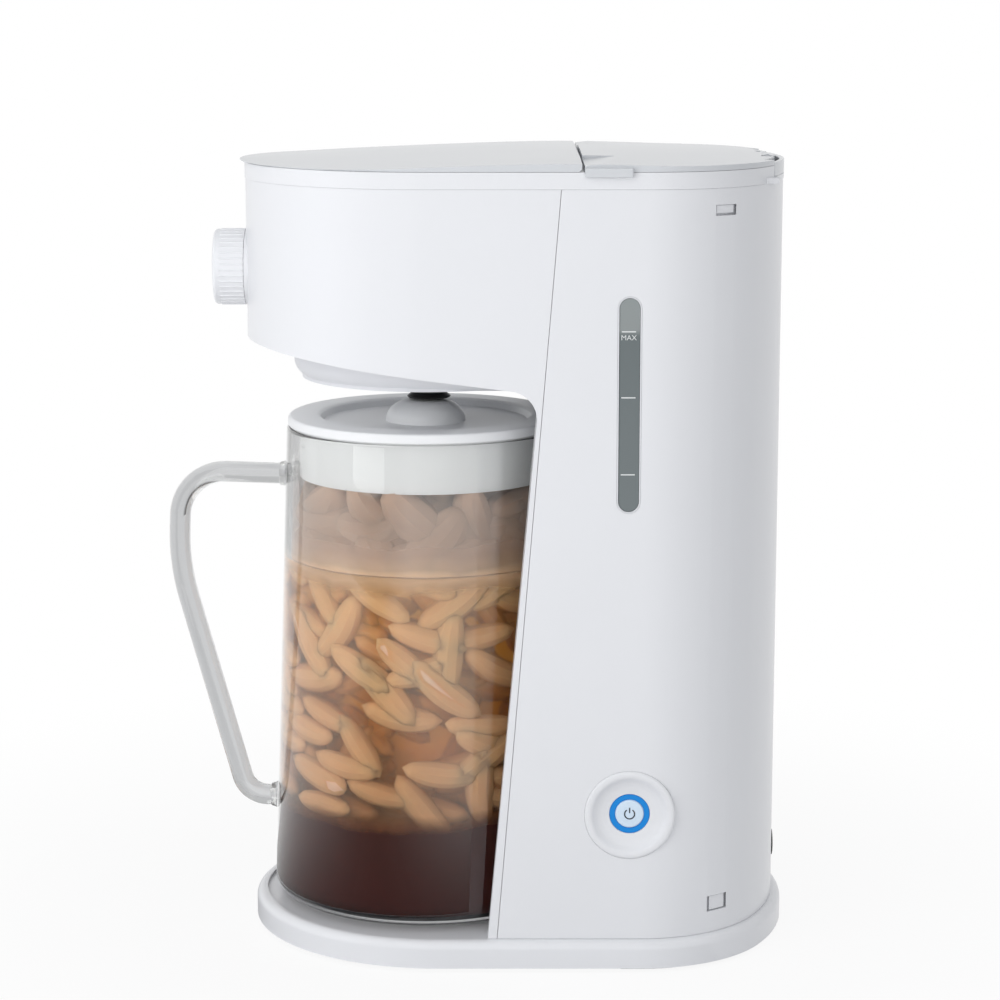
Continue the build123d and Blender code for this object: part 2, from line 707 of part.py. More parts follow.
def cover_skirt():
    """The part of the underside cover that hugs the head's slanted floor, back to the column."""
    gap = 0.3
    with BuildPart() as skirt:
        with BuildSketch(Plane.XY.offset(CUP_LOW)):
            with Locations((0, CUP_Y)):
                Circle(COVER_R)
            with Locations((0, CUP_Y + COVER_R / 2)):
                Rectangle(2 * COVER_R, COVER_R)
        extrude(amount=CUP_TOP - CUP_LOW)
        fillet(skirt.edges().group_by(Axis.Z)[0], radius=COVER_ROUND)
    with BuildPart() as bay:
        extrude(bay_face(), amount=100, both=True)
    under_floor = skirt.part & bay.part.moved(Location((0, -gap, -gap)))
    return under_floor - column_of(CUP_R - WALL / 2, 0, SHELL_TOP, CUP_Y)


with BuildPart() as underside_cover:
    add(
        turned(
            (VALVE_R + 1.0, CUP_LOW), (CUP_R, CUP_LOW), (CUP_R, CUP_TOP), (CUP_R - WALL, CUP_TOP),
            (CUP_R - WALL, CUP_LOW + 10), (CUP_R - 10, CUP_LOW + WALL), (VALVE_R + 1.0, CUP_LOW + WALL),
        )
    )
    add(cover_skirt())
finish(underside_cover, "underside_cover")

with BuildPart() as brew_basket:
    add(
        turned(
            (SPOUT_R, CUP_LOW + 6), (SPOUT_R + 2, CUP_LOW + 6), (SPOUT_R + 2, CUP_TOP - 2),
            (BASKET_R - 6, CUP_TOP + 1), (BASKET_R, BASKET_TOP - 3), (BASKET_R + 3, BASKET_TOP - 3),
            (BASKET_R + 3, BASKET_TOP), (BASKET_R - 2, BASKET_TOP), (BASKET_R - 8, CUP_TOP + 3),
            (SPOUT_R, CUP_TOP),
        )
    )
finish(brew_basket, "brew_basket")

with BuildPart() as mesh_filter:
    add(
        turned(
            (0, CUP_TOP + 4.2), (BASKET_R - 10, CUP_TOP + 4.2), (BASKET_R - 5, BASKET_TOP - 12),
            (BASKET_R - 5.8, BASKET_TOP - 12), (BASKET_R - 10.8, CUP_TOP + 5), (0, CUP_TOP + 5),
        )
    )
    with Locations((0, CUP_Y, BASKET_TOP - 11)):
        Cylinder(BASKET_R - 4.8, 2)
        Cylinder(BASKET_R - 7, 2, mode=Mode.SUBTRACT)
finish(mesh_filter, "mesh_filter")

# Drip valve: pushed up by the pitcher's dome, closed again by its spring

with BuildPart() as drip_valve:
    add(
        turned(
            (0, VALVE_LOW), (VALVE_R - 0.6, VALVE_LOW), (VALVE_R, VALVE_LOW + 0.6),
            (VALVE_R - 2.2, VALVE_LOW + 2.4), (VALVE_R - 2.2, VALVE_LOW + 3.6),
            (VALVE_R, VALVE_LOW + 5.6), (VALVE_R, VALVE_SHOULDER), (VALVE_STEM_R, VALVE_SHOULDER),
            (VALVE_STEM_R, SPRING_HIGH + 0.1), (0, SPRING_HIGH + 0.1),
        )
    )
finish(drip_valve, "drip_valve")

with BuildPart() as valve_spring:
    with BuildLine() as coil:
        Helix(pitch=2.6, height=SPRING_HIGH - SPRING_LOW, radius=5.4, center=(0, CUP_Y, SPRING_LOW))
    with BuildSketch(Plane(origin=coil.line @ 0, z_dir=coil.line % 0)):
        Circle(0.4)
    sweep()
finish(valve_spring, "valve_spring")

with BuildPart() as valve_seat:
    add(
        turned(
            (VALVE_STEM_R + 0.4, SPRING_HIGH + 0.6), (SPOUT_R - 0.1, SPRING_HIGH + 0.6),
            (SPOUT_R - 0.1, SPRING_HIGH + 2.4), (VALVE_STEM_R + 0.4, SPRING_HIGH + 2.4),
        )
    )
    with Locations((0, CUP_Y, SPRING_HIGH)):
        with PolarLocations(5.2, 6):
            Cylinder(0.9, 10, mode=Mode.SUBTRACT)
finish(valve_seat, "valve_seat")


# Water path: tank, its outlet, the heater under it, the riser and the spray head


def tank_block(draw_in, low, high):
    """The tank's outer form, drawn in by a wall: column plan less pitcher pocket and riser."""
    with BuildPart() as block:
        extrude(plan_face(TANK_INSET + draw_in, low), amount=high - low)
        add(column_of(BAY_R + BAY_WALL + 1.2 + draw_in, 0, 400), mode=Mode.SUBTRACT)
        front = slant(SEAM, SHELL_TOP) + 6 + draw_in
        with Locations((0, front - 100, 200)):
            Box(200, 200, 400, mode=Mode.SUBTRACT)
        add(column_of(RISER_R + 3 + draw_in, 0, 400, RISER[1], RISER[0]), mode=Mode.SUBTRACT)
    return block.part


with BuildPart() as water_tank:
    add(tank_block(0, TANK_LOW, TANK_TOP))
    add(tank_block(TANK_WALL, TANK_LOW + TANK_WALL, TANK_TOP + 1), mode=Mode.SUBTRACT)
finish(water_tank, "water_tank")


def pipe(points, radius, outer, bore):
    """A bent pipe along corners rounded to one radius."""
    with BuildPart() as bent:
        with BuildLine() as route:
            FilletPolyline(*points, radius=radius)
        with BuildSketch(Plane(origin=route.line @ 0, z_dir=route.line % 0)):
            Circle(outer)
            if bore:
                Circle(bore, mode=Mode.SUBTRACT)
        sweep()
    return bent.part


with BuildPart() as heater_tube:
    with BuildLine() as loop:
        Line((-HEATER_X, HEATER_END_Y, HEATER_Z), (-HEATER_X, HEATER_Y, HEATER_Z))
        ThreePointArc(
            (-HEATER_X, HEATER_Y, HEATER_Z),
            (0, HEATER_Y - HEATER_X, HEATER_Z),
            (HEATER_X, HEATER_Y, HEATER_Z),
        )
        Line((HEATER_X, HEATER_Y, HEATER_Z), (HEATER_X, HEATER_END_Y, HEATER_Z))
    with BuildSketch(Plane(origin=loop.line @ 0, z_dir=loop.line % 0)):
        Circle(HEATER_R)
        Circle(HOSE_R, mode=Mode.SUBTRACT)
    sweep()
finish(heater_tube, "heater_tube")

with BuildPart() as heater_bracket:
    with Locations((0, HEATER_Y + 4, (BASE_TOP + HEATER_Z - HEATER_R) / 2)):
        Box(96, 10, HEATER_Z - HEATER_R - BASE_TOP - 0.2)
        Box(88, 12, HEATER_Z - HEATER_R - BASE_TOP - 4, mode=Mode.SUBTRACT)
    for x in (-HEATER_X, HEATER_X):
        with Locations((x, HEATER_Y + 4, HEATER_Z - HEATER_R + 3.5)):
            Box(2 * HEATER_R + 4, 10, 7.4)
    with BuildSketch(Plane.XZ.offset(-HEATER_Y + 20)):
        with Locations((-HEATER_X, HEATER_Z), (HEATER_X, HEATER_Z)):
            Circle(HEATER_R + 0.05)
    extrude(amount=-60, mode=Mode.SUBTRACT)
finish(heater_bracket, "heater_bracket")

with BuildPart() as thermostat:
    with Locations((0, HEATER_Y - HEATER_X, HEATER_Z + HEATER_R + 3.1)):
        Cylinder(8, 6)
        with Locations((0, 0, 5)):
            Cylinder(6, 5)
        with Locations((-4, 0, 8), (4, 0, 8)):
            Box(0.8, 5, 8)
finish(thermostat, "thermostat")

with BuildPart() as thermal_fuses:
    for x in (-HEATER_X, HEATER_X):
        with Locations((x, HEATER_Y + 12, HEATER_Z + HEATER_R + 2.1)):
            Cylinder(2.0, 12, rotation=(90, 0, 0))
finish(thermal_fuses, "thermal_fuses")

with BuildPart() as inlet_hose:
    start = (HEATER_X, HEATER_END_Y + 0.1, HEATER_Z)
    add(pipe((start, (HEATER_X, OUTLET_Y, HEATER_Z), (HEATER_X, OUTLET_Y, 62)), 4.6, HOSE_R, 2.6))
finish(inlet_hose, "inlet_hose")

with BuildPart() as check_valve:
    add(turned((2.6, 62.1), (5.4, 62.1), (5.4, 74), (HOSE_R, 76), (HOSE_R, 80), (2.6, 80), y=0))
check_valve.part.position = (HEATER_X, OUTLET_Y, 0)
finish(check_valve, "check_valve")

with BuildPart() as outlet_seal:
    add(turned((2.8, 80.1), (6.0, 80.1), (6.0, TANK_LOW - 0.1), (2.8, TANK_LOW - 0.1), y=0))
outlet_seal.part.position = (HEATER_X, OUTLET_Y, 0)
finish(outlet_seal, "outlet_seal")

with BuildPart() as riser_tube:
    over = (RISER[0], RISER[1], SPRAY_PIPE_Z)
    reach = hypot(RISER[0], RISER[1] - CUP_Y)
    neck = 7.0 / reach
    stop = (RISER[0] * neck, CUP_Y + (RISER[1] - CUP_Y) * neck, SPRAY_PIPE_Z)
    corners = (
        (-HEATER_X, HEATER_END_Y + 0.1, HEATER_Z),
        (-HEATER_X, OUTLET_Y, HEATER_Z),
        (-HEATER_X, OUTLET_Y, 60),
        (RISER[0], RISER[1], 72),
        over,
        stop,
    )
    add(pipe(corners, 4.6, RISER_R, 2.6))
finish(riser_tube, "riser_tube")

with BuildPart() as spray_head:
    add(
        turned(
            (0, SPRAY_LOW), (SPRAY_R, SPRAY_LOW), (SPRAY_R, SPRAY_LOW + 3.5), (6.9, SPRAY_LOW + 5),
            (6.9, SPRAY_PIPE_Z + RISER_R + 1), (0, SPRAY_PIPE_Z + RISER_R + 1),
        )
    )
    with Locations((0, CUP_Y, SPRAY_LOW)):
        for ring_r, count in ((10, 6), (19, 12), (28, 18)):
            with PolarLocations(ring_r, count):
                Cylinder(1.2, 2.4, mode=Mode.SUBTRACT)
finish(spray_head, "spray_head")


# Level window: clear lens and its frame in the casing's slot, with three printed marks

with BuildPart() as window_frame:
    extrude(window_face(BODY_HALF - WALL - 1.6, WINDOW_HALF, 2.0), amount=1.5)
    extrude(window_face(BODY_HALF - WALL - 1.6, WINDOW_HALF, -0.05), amount=WALL + 1.6)
    extrude(window_face(60, WINDOW_HALF, -0.7), amount=40, mode=Mode.SUBTRACT)
finish(window_frame, "window_frame")

with BuildPart() as window_lens:
    extrude(window_face(BODY_HALF - WALL - 1.6, WINDOW_HALF, -0.75), amount=WALL + 1.2)
finish(window_lens, "window_lens")

with BuildPart() as level_marks:
    for mark_z in MARK_HEIGHTS:
        with Locations((BODY_HALF - 0.35, WINDOW_Y - 0.4, mark_z)):
            Box(0.1, 5.8, 0.5)
finish(level_marks, "level_marks")


# Power button: dish-shaped bezel, light ring, sprung button, switch and its board


def facing(*points):
    """A solid turned round the button's axis from (radius, x) points."""
    with BuildPart() as body:
        with BuildSketch(Plane.XY):
            with BuildLine():
                Polyline(*[(x, radius) for radius, x in points], close=True)
            make_face()
        revolve(axis=Axis.X)
    return body.part.moved(Location((0, BUTTON_Y, BUTTON_Z)))


with BuildPart() as button_bezel:
    add(
        facing(
            (BEZEL_R, BEZEL_BACK), *[(BEZEL_R - inward, BODY_HALF + rise) for inward, rise in BEZEL_RIM],
            (RING_OUT + 0.1, BODY_HALF - 2.0), (RING_OUT + 0.1, BEZEL_BACK),
        )
    )
finish(button_bezel, "button_bezel")

with BuildPart() as light_ring:
    face_x = BODY_HALF - 1.9
    add(facing((RING_IN, face_x - 5), (RING_OUT, face_x - 5), (RING_OUT, face_x), (RING_IN, face_x)))
finish(light_ring, "light_ring")

with BuildPart() as power_button:
    add(
        facing(
            (0, BODY_HALF - 6), (RING_IN - 0.1, BODY_HALF - 6), (RING_IN - 0.1, BODY_HALF - 2.2),
            (RING_IN - 0.6, BODY_HALF - 1.7), (0, BODY_HALF - 1.5),
        )
    )
finish(power_button, "power_button")

with BuildPart() as button_spring:
    with BuildLine() as coil:
        Helix(pitch=1.5, height=4.2, radius=3.4, center=(0, 0, 0))
    with BuildSketch(Plane(origin=coil.line @ 0, z_dir=coil.line % 0)):
        Circle(0.25)
    sweep()
button_spring.part.orientation = (0, 90, 0)
button_spring.part.position = (BODY_HALF - 10.8, BUTTON_Y, BUTTON_Z)
finish(button_spring, "button_spring")

with BuildPart() as switch_board:
    with Locations((BOARD_X, BUTTON_Y, BUTTON_Z)):
        Box(1.6, BOARD_SIDE, BOARD_SIDE)
        with Locations(*[(0, y, z) for y, z in BOARD_SCREWS]):
            Cylinder(1.7, 4, rotation=(0, 90, 0), mode=Mode.SUBTRACT)
finish(switch_board, "switch_board")

with BuildPart() as push_switch:
    with Locations((BOARD_X + 1.9, BUTTON_Y, BUTTON_Z)):
        Box(2.0, 6, 6)
finish(push_switch, "push_switch")

with BuildPart() as board_screws:
    for y, z in BOARD_SCREWS:
        with Locations((BOARD_X, BUTTON_Y + y, BUTTON_Z + z)):
            Cylinder(1.5, 5, rotation=(0, 90, 0))
            with Locations((-1.7, 0, 0)):
                Cylinder(2.6, 1.4, rotation=(0, 90, 0))
finish(board_screws, "board_screws")


# Strength dial: ribbed knob, its shaft and bush, and the disc that steers the water


with BuildPart() as strength_dial:
    add(dial_round(DIAL_FRONT, DIAL_BACK, DIAL_R - 0.4))
    fillet(strength_dial.edges().sort_by(Axis.Y)[0], radius=1.6)
    with BuildSketch(Plane.XZ.offset(-DIAL_BACK)):
        with Locations((0, DIAL_Z)):
            with PolarLocations(DIAL_R - RIB_R - 0.1, DIAL_RIB_COUNT):
                Circle(RIB_R)
    extrude(amount=DIAL_BACK - DIAL_FRONT - 3.0)
    add(dial_round(DIAL_BACK - 4, DIAL_BACK, DIAL_R - 3, 6.0), mode=Mode.SUBTRACT)
    add(dial_round(DIAL_BACK - 10, DIAL_BACK, SHAFT_R + 0.02), mode=Mode.SUBTRACT)
finish(strength_dial, "strength_dial")

with BuildPart() as dial_shaft:
    add(dial_round(DIAL_BACK - 9.9, DISC_Y + 2, SHAFT_R))
finish(dial_shaft, "dial_shaft")

with BuildPart() as selector_disc:
    add(dial_round(DISC_Y - 1.2, DISC_Y + 1.2, 9.0, SHAFT_R + 0.02))
    with Locations((0, DISC_Y, DIAL_Z + 6)):
        Cylinder(1.6, 6, rotation=(90, 0, 0), mode=Mode.SUBTRACT)
finish(selector_disc, "selector_disc")

with BuildPart() as dial_bush:
    add(dial_round(NOSE_Y - BODY_HALF + 0.3, NOSE_Y - BODY_HALF + 9, SHAFT_R + 1.9, SHAFT_R + 0.05))
    add(dial_round(NOSE_Y - BODY_HALF + WALL + 0.6, NOSE_Y - BODY_HALF + 5, 8.0, SHAFT_R + 0.05))
finish(dial_bush, "dial_bush")

with BuildPart() as selector_box:
    add(dial_round(DISC_Y - 5, DISC_Y - 2, 12.0, SHAFT_R + 0.1))
    add(dial_round(DISC_Y - 5, DISC_Y + 2, 12.0, 9.5))
finish(selector_box, "selector_box")


# Mains inlet gland and its terminal block at the back
with BuildPart() as cord_gland:
    with BuildSketch(Plane.XZ.offset(-BACK_Y + WALL + 0.5)):
        with Locations((0, GLAND_Z)):
            Circle(GLAND_R + 2)
            Circle(3.4, mode=Mode.SUBTRACT)
    extrude(amount=1.6)
    with BuildSketch(Plane.XZ.offset(-BACK_Y + WALL + 0.5)):
        with Locations((0, GLAND_Z)):
            Circle(GLAND_R)
            Circle(3.4, mode=Mode.SUBTRACT)
    extrude(amount=-WALL - 1.1)
finish(cord_gland, "cord_gland")

with BuildPart() as terminal_block:
    with Locations((0, 108, 26)):
        Box(18, 12, 10)
        with GridLocations(6, 0, 3, 1):
            Cylinder(1.6, 20, mode=Mode.SUBTRACT)
finish(terminal_block, "terminal_block")


# Pitcher: clear jug, rod handle and fittings, lid with its dome and skirt, coffee and ice


def jug_outline(draw_in, low, high):
    """Half section of the jug's tapered form, drawn in by its wall."""
    taper = (JUG_FOOT_R - JUG_NECK_R) / (JUG_TOP - JUG_LOW - JUG_ROUND)
    foot = JUG_FOOT_R - draw_in
    neck = foot - taper * (high - low - JUG_ROUND)
    with BuildSketch(Plane.XZ) as half:
        with BuildLine():
            FilletPolyline((0, low), (foot + 0.6, low), (neck, high), radius=JUG_ROUND - draw_in, close=False)
            Polyline((neck, high), (0, high), (0, low))
        make_face()
    return half.sketch


def jug_solid(draw_in, low, high):
    """The turned form of jug_outline on the pitcher's axis."""
    with BuildPart() as form:
        add(jug_outline(draw_in, low, high))
        revolve(axis=Axis.Z)
    return form.part.moved(Location((0, JUG_Y, 0)))


with BuildPart() as jug:
    add(jug_solid(0, JUG_LOW, JUG_TOP))
    add(jug_solid(JUG_WALL, JUG_LOW + JUG_FLOOR, JUG_TOP), mode=Mode.SUBTRACT)
finish(jug, "pitcher_jug")


with BuildPart() as handle_rod:
    with BuildLine() as route:
        FilletPolyline(
            (0, NECK_FACE - 2, ROD_TOP_Z),
            (0, ROD_FRONT + 1.4, ROD_TOP_Z + 1.5),
            (0, ROD_FRONT - 0.6, ROD_KNEE_Z),
            (0, -102.5, ROD_LOW_Z),
            (0, FOOT_FACE - 3, ROD_LOW_Z + 1),
            radius=ROD_BENDS,
        )
    with BuildSketch(Plane(origin=route.line @ 0, z_dir=route.line % 0)):
        Circle(ROD_R)
    sweep()
finish(handle_rod, "pitcher_handle")


def handle_foot(face, height, long, wide):
    """A tapered boss between the jug's wall and an end of the rod."""
    with BuildPart() as boss:
        with BuildSketch(Plane.XZ.offset(-(face + 6))):
            with Locations((0, height)):
                Circle(wide)
        with BuildSketch(Plane.XZ.offset(-(face - long))):
            with Locations((0, height)):
                Circle(ROD_R + 0.4)
        loft()
        add(jug_solid(0, JUG_LOW, JUG_TOP), mode=Mode.SUBTRACT)
        add(handle_rod.part, mode=Mode.SUBTRACT)
    return boss.part


with BuildPart() as handle_fittings:
    add(handle_foot(NECK_FACE, ROD_TOP_Z, 1.9, 7.0))
    add(handle_foot(FOOT_FACE, ROD_LOW_Z + 1, 2.9, 8.0))
finish(handle_fittings, "handle_fittings")

def dome_points():
    """The dome's bell from its foot on the recessed ring to its flat top."""
    steps = DOME_STEPS
    reach, rise = DOME_R - DOME_FLAT, DOME_TOP - RECESS_Z
    turns = [step * pi / 2 / steps for step in range(steps + 1)]
    return [(DOME_FLAT + reach * cos(turn), RECESS_Z + rise * sin(turn)) for turn in turns]


with BuildPart() as pitcher_lid:
    add(
        turned(
            (0, JUG_TOP + 0.4), (LID_R - 0.4, JUG_TOP + 0.4), (LID_R, JUG_TOP + 1.0), (LID_R, LID_TOP - 1.6),
            (LID_R - 0.5, LID_TOP - 0.6), (LID_R - 1.8, LID_TOP), (RECESS_R + 3.0, LID_TOP),
            (RECESS_R + 1.2, LID_TOP - 0.8), (RECESS_R, RECESS_Z), *dome_points(), (4.4, DOME_TOP),
            (3.0, DOME_TOP - 1.6), (0, DOME_TOP - 1.6),
            y=JUG_Y,
        )
    )
    with Locations((0, JUG_Y, DOME_TOP)):
        Cylinder(2.6, 40, mode=Mode.SUBTRACT)
finish(pitcher_lid, "pitcher_lid")

with BuildPart() as lid_skirt:
    add(
        turned(
            (SKIRT_R - 1.6, SKIRT_LOW), (SKIRT_R, SKIRT_LOW), (SKIRT_R, JUG_TOP + 0.3),
            (SKIRT_R - 1.6, JUG_TOP + 0.3),
            y=JUG_Y,
        )
    )
    with Locations((0, JUG_Y, SKIRT_LOW)):
        with PolarLocations(SKIRT_R - 0.8, 5, start_angle=60, angular_range=60):
            Box(4, 3.2, 12, mode=Mode.SUBTRACT)
finish(lid_skirt, "lid_skirt")

with BuildPart() as coffee:
    add(jug_solid(JUG_WALL + 0.1, JUG_LOW + JUG_FLOOR + 0.1, JUG_TOP))
    split(bisect_by=Plane.XY.offset(COFFEE_TOP), keep=Keep.BOTTOM)
finish(coffee, "coffee")

# Ice: crescents with rounded backs, in rings near the jug's wall


def ice_crescent(turn, height, tilt):
    """One crescent, its flat side down, standing on the jug's radius at an angle."""
    place = Plane.YZ.offset(ICE_R - ICE_THICK / 2).rotated((tilt, 0, 0))
    with BuildPart() as crescent:
        with BuildSketch(place):
            with BuildLine():
                ThreePointArc((-ICE_HALF, 0), (0, 5.6), (ICE_HALF, 0))
                ThreePointArc((-ICE_HALF, 0), (0, -2.4), (ICE_HALF, 0))
            make_face()
        extrude(amount=ICE_THICK)
    return crescent.part.moved(Location((0, JUG_Y, height), (0, 0, turn)))


with BuildPart() as ice_cubes:
    for ring in range(ICE_RINGS):
        for spot in range(ICE_PER_RING):
            lean = ICE_LEAN * sin(2.1 * ring + 1.7 * spot)
            step = 360 / ICE_PER_RING
            add(ice_crescent(step * (spot + 0.5 * (ring % 2)), ICE_LOW + ring * ICE_STEP, lean))
finish(ice_cubes, "ice_cubes")
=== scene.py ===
"""Iced coffee maker: the looks of every piece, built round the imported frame.

Metres, +Z up. The dial and the pitcher face -Y; the level window and the button face +X.
"""
import json
import logging
import math
import random
from dataclasses import dataclass
from enum import Enum

import bpy
from mathutils import Matrix, Vector

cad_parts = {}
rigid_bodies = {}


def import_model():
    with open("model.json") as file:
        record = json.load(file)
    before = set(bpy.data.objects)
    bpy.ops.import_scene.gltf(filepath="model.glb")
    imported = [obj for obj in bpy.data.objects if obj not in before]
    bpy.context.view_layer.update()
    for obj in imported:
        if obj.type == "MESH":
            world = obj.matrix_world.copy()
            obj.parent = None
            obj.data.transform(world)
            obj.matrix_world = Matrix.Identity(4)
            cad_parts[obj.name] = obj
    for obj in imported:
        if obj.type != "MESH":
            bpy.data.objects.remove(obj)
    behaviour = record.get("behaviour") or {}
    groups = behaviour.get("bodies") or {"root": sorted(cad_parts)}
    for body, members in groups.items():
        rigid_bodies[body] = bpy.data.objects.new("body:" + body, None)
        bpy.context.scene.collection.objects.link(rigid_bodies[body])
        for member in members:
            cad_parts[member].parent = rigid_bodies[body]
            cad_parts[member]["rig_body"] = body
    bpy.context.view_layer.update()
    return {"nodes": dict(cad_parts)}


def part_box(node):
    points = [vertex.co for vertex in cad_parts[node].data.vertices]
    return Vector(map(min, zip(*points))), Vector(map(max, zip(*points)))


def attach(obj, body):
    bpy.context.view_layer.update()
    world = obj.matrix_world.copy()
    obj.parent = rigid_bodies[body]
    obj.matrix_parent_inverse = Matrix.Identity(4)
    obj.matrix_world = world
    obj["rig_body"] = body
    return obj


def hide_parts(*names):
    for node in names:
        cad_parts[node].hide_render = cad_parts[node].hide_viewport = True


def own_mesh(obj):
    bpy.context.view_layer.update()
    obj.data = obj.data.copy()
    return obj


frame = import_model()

LOG = logging.getLogger("iced_coffee_maker")
MM = 0.001
JUG_Y = -22.5 * MM
JUG_WALL = 2.6 * MM
JUG_TAPER = 7.4 / 208.45
JUG_FOOT_INNER = 65.9 * MM
DRINK_TOP = 166 * MM
DARK_TOP = 60 * MM
RAMP_TOP = 180 * MM
Point = tuple[float, float, float]
Profile = list[tuple[float, float]]


class Axis(Enum):
    """The direction that a round piece is turned about."""

    X = (1.0, 0.0, 0.0)
    Z = (0.0, 0.0, 1.0)


class Grain(Enum):
    """How a surface's fine relief is laid out, as stretches of its noise along X, Y and Z."""

    MOULDED = (1.0, 1.0, 1.0)
    TURNED = (0.15, 0.15, 1.0)


# Shader nodes, and the groups that materials share, each with its own values
def add(nodes: bpy.types.Nodes, kind: str, values: dict[str | int, object] | None = None,
        **settings: object) -> bpy.types.Node:
    """Add a shader node.

    Args:
        nodes: The nodes of a material, world or group.
        kind: The node's type, without the words ShaderNode before it.
        values: Values for its inputs, by name or number.
        settings: Properties of the node itself.

    Returns:
        The new node.
    """
    node = nodes.new(f"ShaderNode{kind}")
    for key, value in settings.items():
        setattr(node, key, value)
    for socket, value in (values or {}).items():
        node.inputs[socket].default_value = value
    return node


def wire(source: bpy.types.Node, output: str, target: bpy.types.Node, inlet: str | int) -> None:
    """Link an output of one shader node to an input of another."""
    source.id_data.links.new(source.outputs[output], target.inputs[inlet])


def new_group(name: str, inputs: dict[str, str], outputs: dict[str, str]) -> bpy.types.NodeTree:
    """Make a shader group with named sockets and nothing between them.

    Args:
        name: The group's name.
        inputs: Each input's name, with the last word of its socket type.
        outputs: Each output's name, with the last word of its socket type.

    Returns:
        The group, with its input and output nodes in it.
    """
    group = bpy.data.node_groups.new(name, "ShaderNodeTree")
    for direction, sockets in (("INPUT", inputs), ("OUTPUT", outputs)):
        for label, kind in sockets.items():
            group.interface.new_socket(name=label, in_out=direction, socket_type=f"NodeSocket{kind}")
    group.nodes.new("NodeGroupInput")
    group.nodes.new("NodeGroupOutput")
    return group


def moulded_group() -> bpy.types.NodeTree:
    """Build the moulded-surface group: slight mottling, uneven gloss and fine relief.

    Returns:
        A group that puts out a colour, a roughness and a height.
    """
    group = new_group(
        "moulded_surface",
        {"Vector": "Vector", "Colour": "Color", "Roughness": "Float", "Mottle": "Float"},
        {"Colour": "Color", "Roughness": "Float", "Height": "Float"},
    )
    nodes = group.nodes
    source, sink = nodes["Group Input"], nodes["Group Output"]
    broad = add(nodes, "TexNoise", {"Scale": 14.0, "Detail": 3.0})
    fine = add(nodes, "TexNoise", {"Scale": 2600.0, "Detail": 1.0})
    shade = add(nodes, "Mix", data_type="RGBA", blend_type="MULTIPLY")
    level = add(nodes, "MapRange", {"From Min": 0.3, "From Max": 0.7, "To Min": 0.9, "To Max": 1.0})
    gloss = add(nodes, "Math", {1: 0.1}, operation="MULTIPLY_ADD")
    wire(source, "Vector", broad, "Vector")
    wire(source, "Vector", fine, "Vector")
    wire(broad, "Fac", level, "Value")
    wire(source, "Mottle", shade, "Factor")
    wire(source, "Colour", shade, "A")
    wire(level, "Result", shade, "B")
    wire(shade, "Result", sink, "Colour")
    wire(broad, "Fac", gloss, 0)
    wire(source, "Roughness", gloss, 2)
    wire(gloss, "Value", sink, "Roughness")
    wire(fine, "Fac", sink, "Height")
    return group


def depth_group() -> bpy.types.NodeTree:
    """Build the in-drink group: how deep a point lies behind the jug's wall, and its height.

    Returns:
        A group that puts out Depth, 0 at the wall and 1 well inside, and Level, the height in metres.
    """
    group = new_group("drink_depth", {"Vector": "Vector"}, {"Depth": "Float", "Level": "Float"})
    nodes = group.nodes
    source, sink = nodes["Group Input"], nodes["Group Output"]
    centred = add(nodes, "VectorMath", {1: (0.0, JUG_Y, 0.0)}, operation="SUBTRACT")
    split = add(nodes, "SeparateXYZ")
    flat = add(nodes, "CombineXYZ")
    length = add(nodes, "VectorMath", operation="LENGTH")
    even = add(nodes, "Math", {1: JUG_TAPER}, operation="MULTIPLY_ADD")
    depth = add(
        nodes, "MapRange", {"From Min": JUG_FOOT_INNER - 1.5 * MM, "From Max": JUG_FOOT_INNER - 13 * MM},
        interpolation_type="SMOOTHSTEP",
    )
    wire(source, "Vector", centred, 0)
    wire(centred, "Vector", split, "Vector")
    wire(split, "X", flat, "X")
    wire(split, "Y", flat, "Y")
    wire(flat, "Vector", length, 0)
    wire(split, "Z", even, 0)
    wire(length, "Value", even, 2)
    wire(even, "Value", depth, "Value")
    wire(depth, "Result", sink, "Depth")
    wire(split, "Z", sink, "Level")
    return group


GROUPS: dict[str, bpy.types.NodeTree] = {}


def shared_group(name: str) -> bpy.types.NodeTree:
    """Give a shader group by name, building it the first time."""
    makers = {"moulded_surface": moulded_group, "drink_depth": depth_group}
    if name not in GROUPS:
        GROUPS[name] = makers[name]()
    return GROUPS[name]


# Finishes, each made into a material once
LOOKS: dict[str, bpy.types.Material] = {}


def new_material(name: str, values: dict[str, object]) -> tuple[bpy.types.Material, bpy.types.Node]:
    """Start a material.

    Args:
        name: Its name.
        values: Values for its Principled shader's inputs.

    Returns:
        The material and its Principled shader.
    """
    made = bpy.data.materials.new(name)
    made.use_nodes = True
    shader = made.node_tree.nodes["Principled BSDF"]
    for socket, value in values.items():
        shader.inputs[socket].default_value = value
    return made, shader


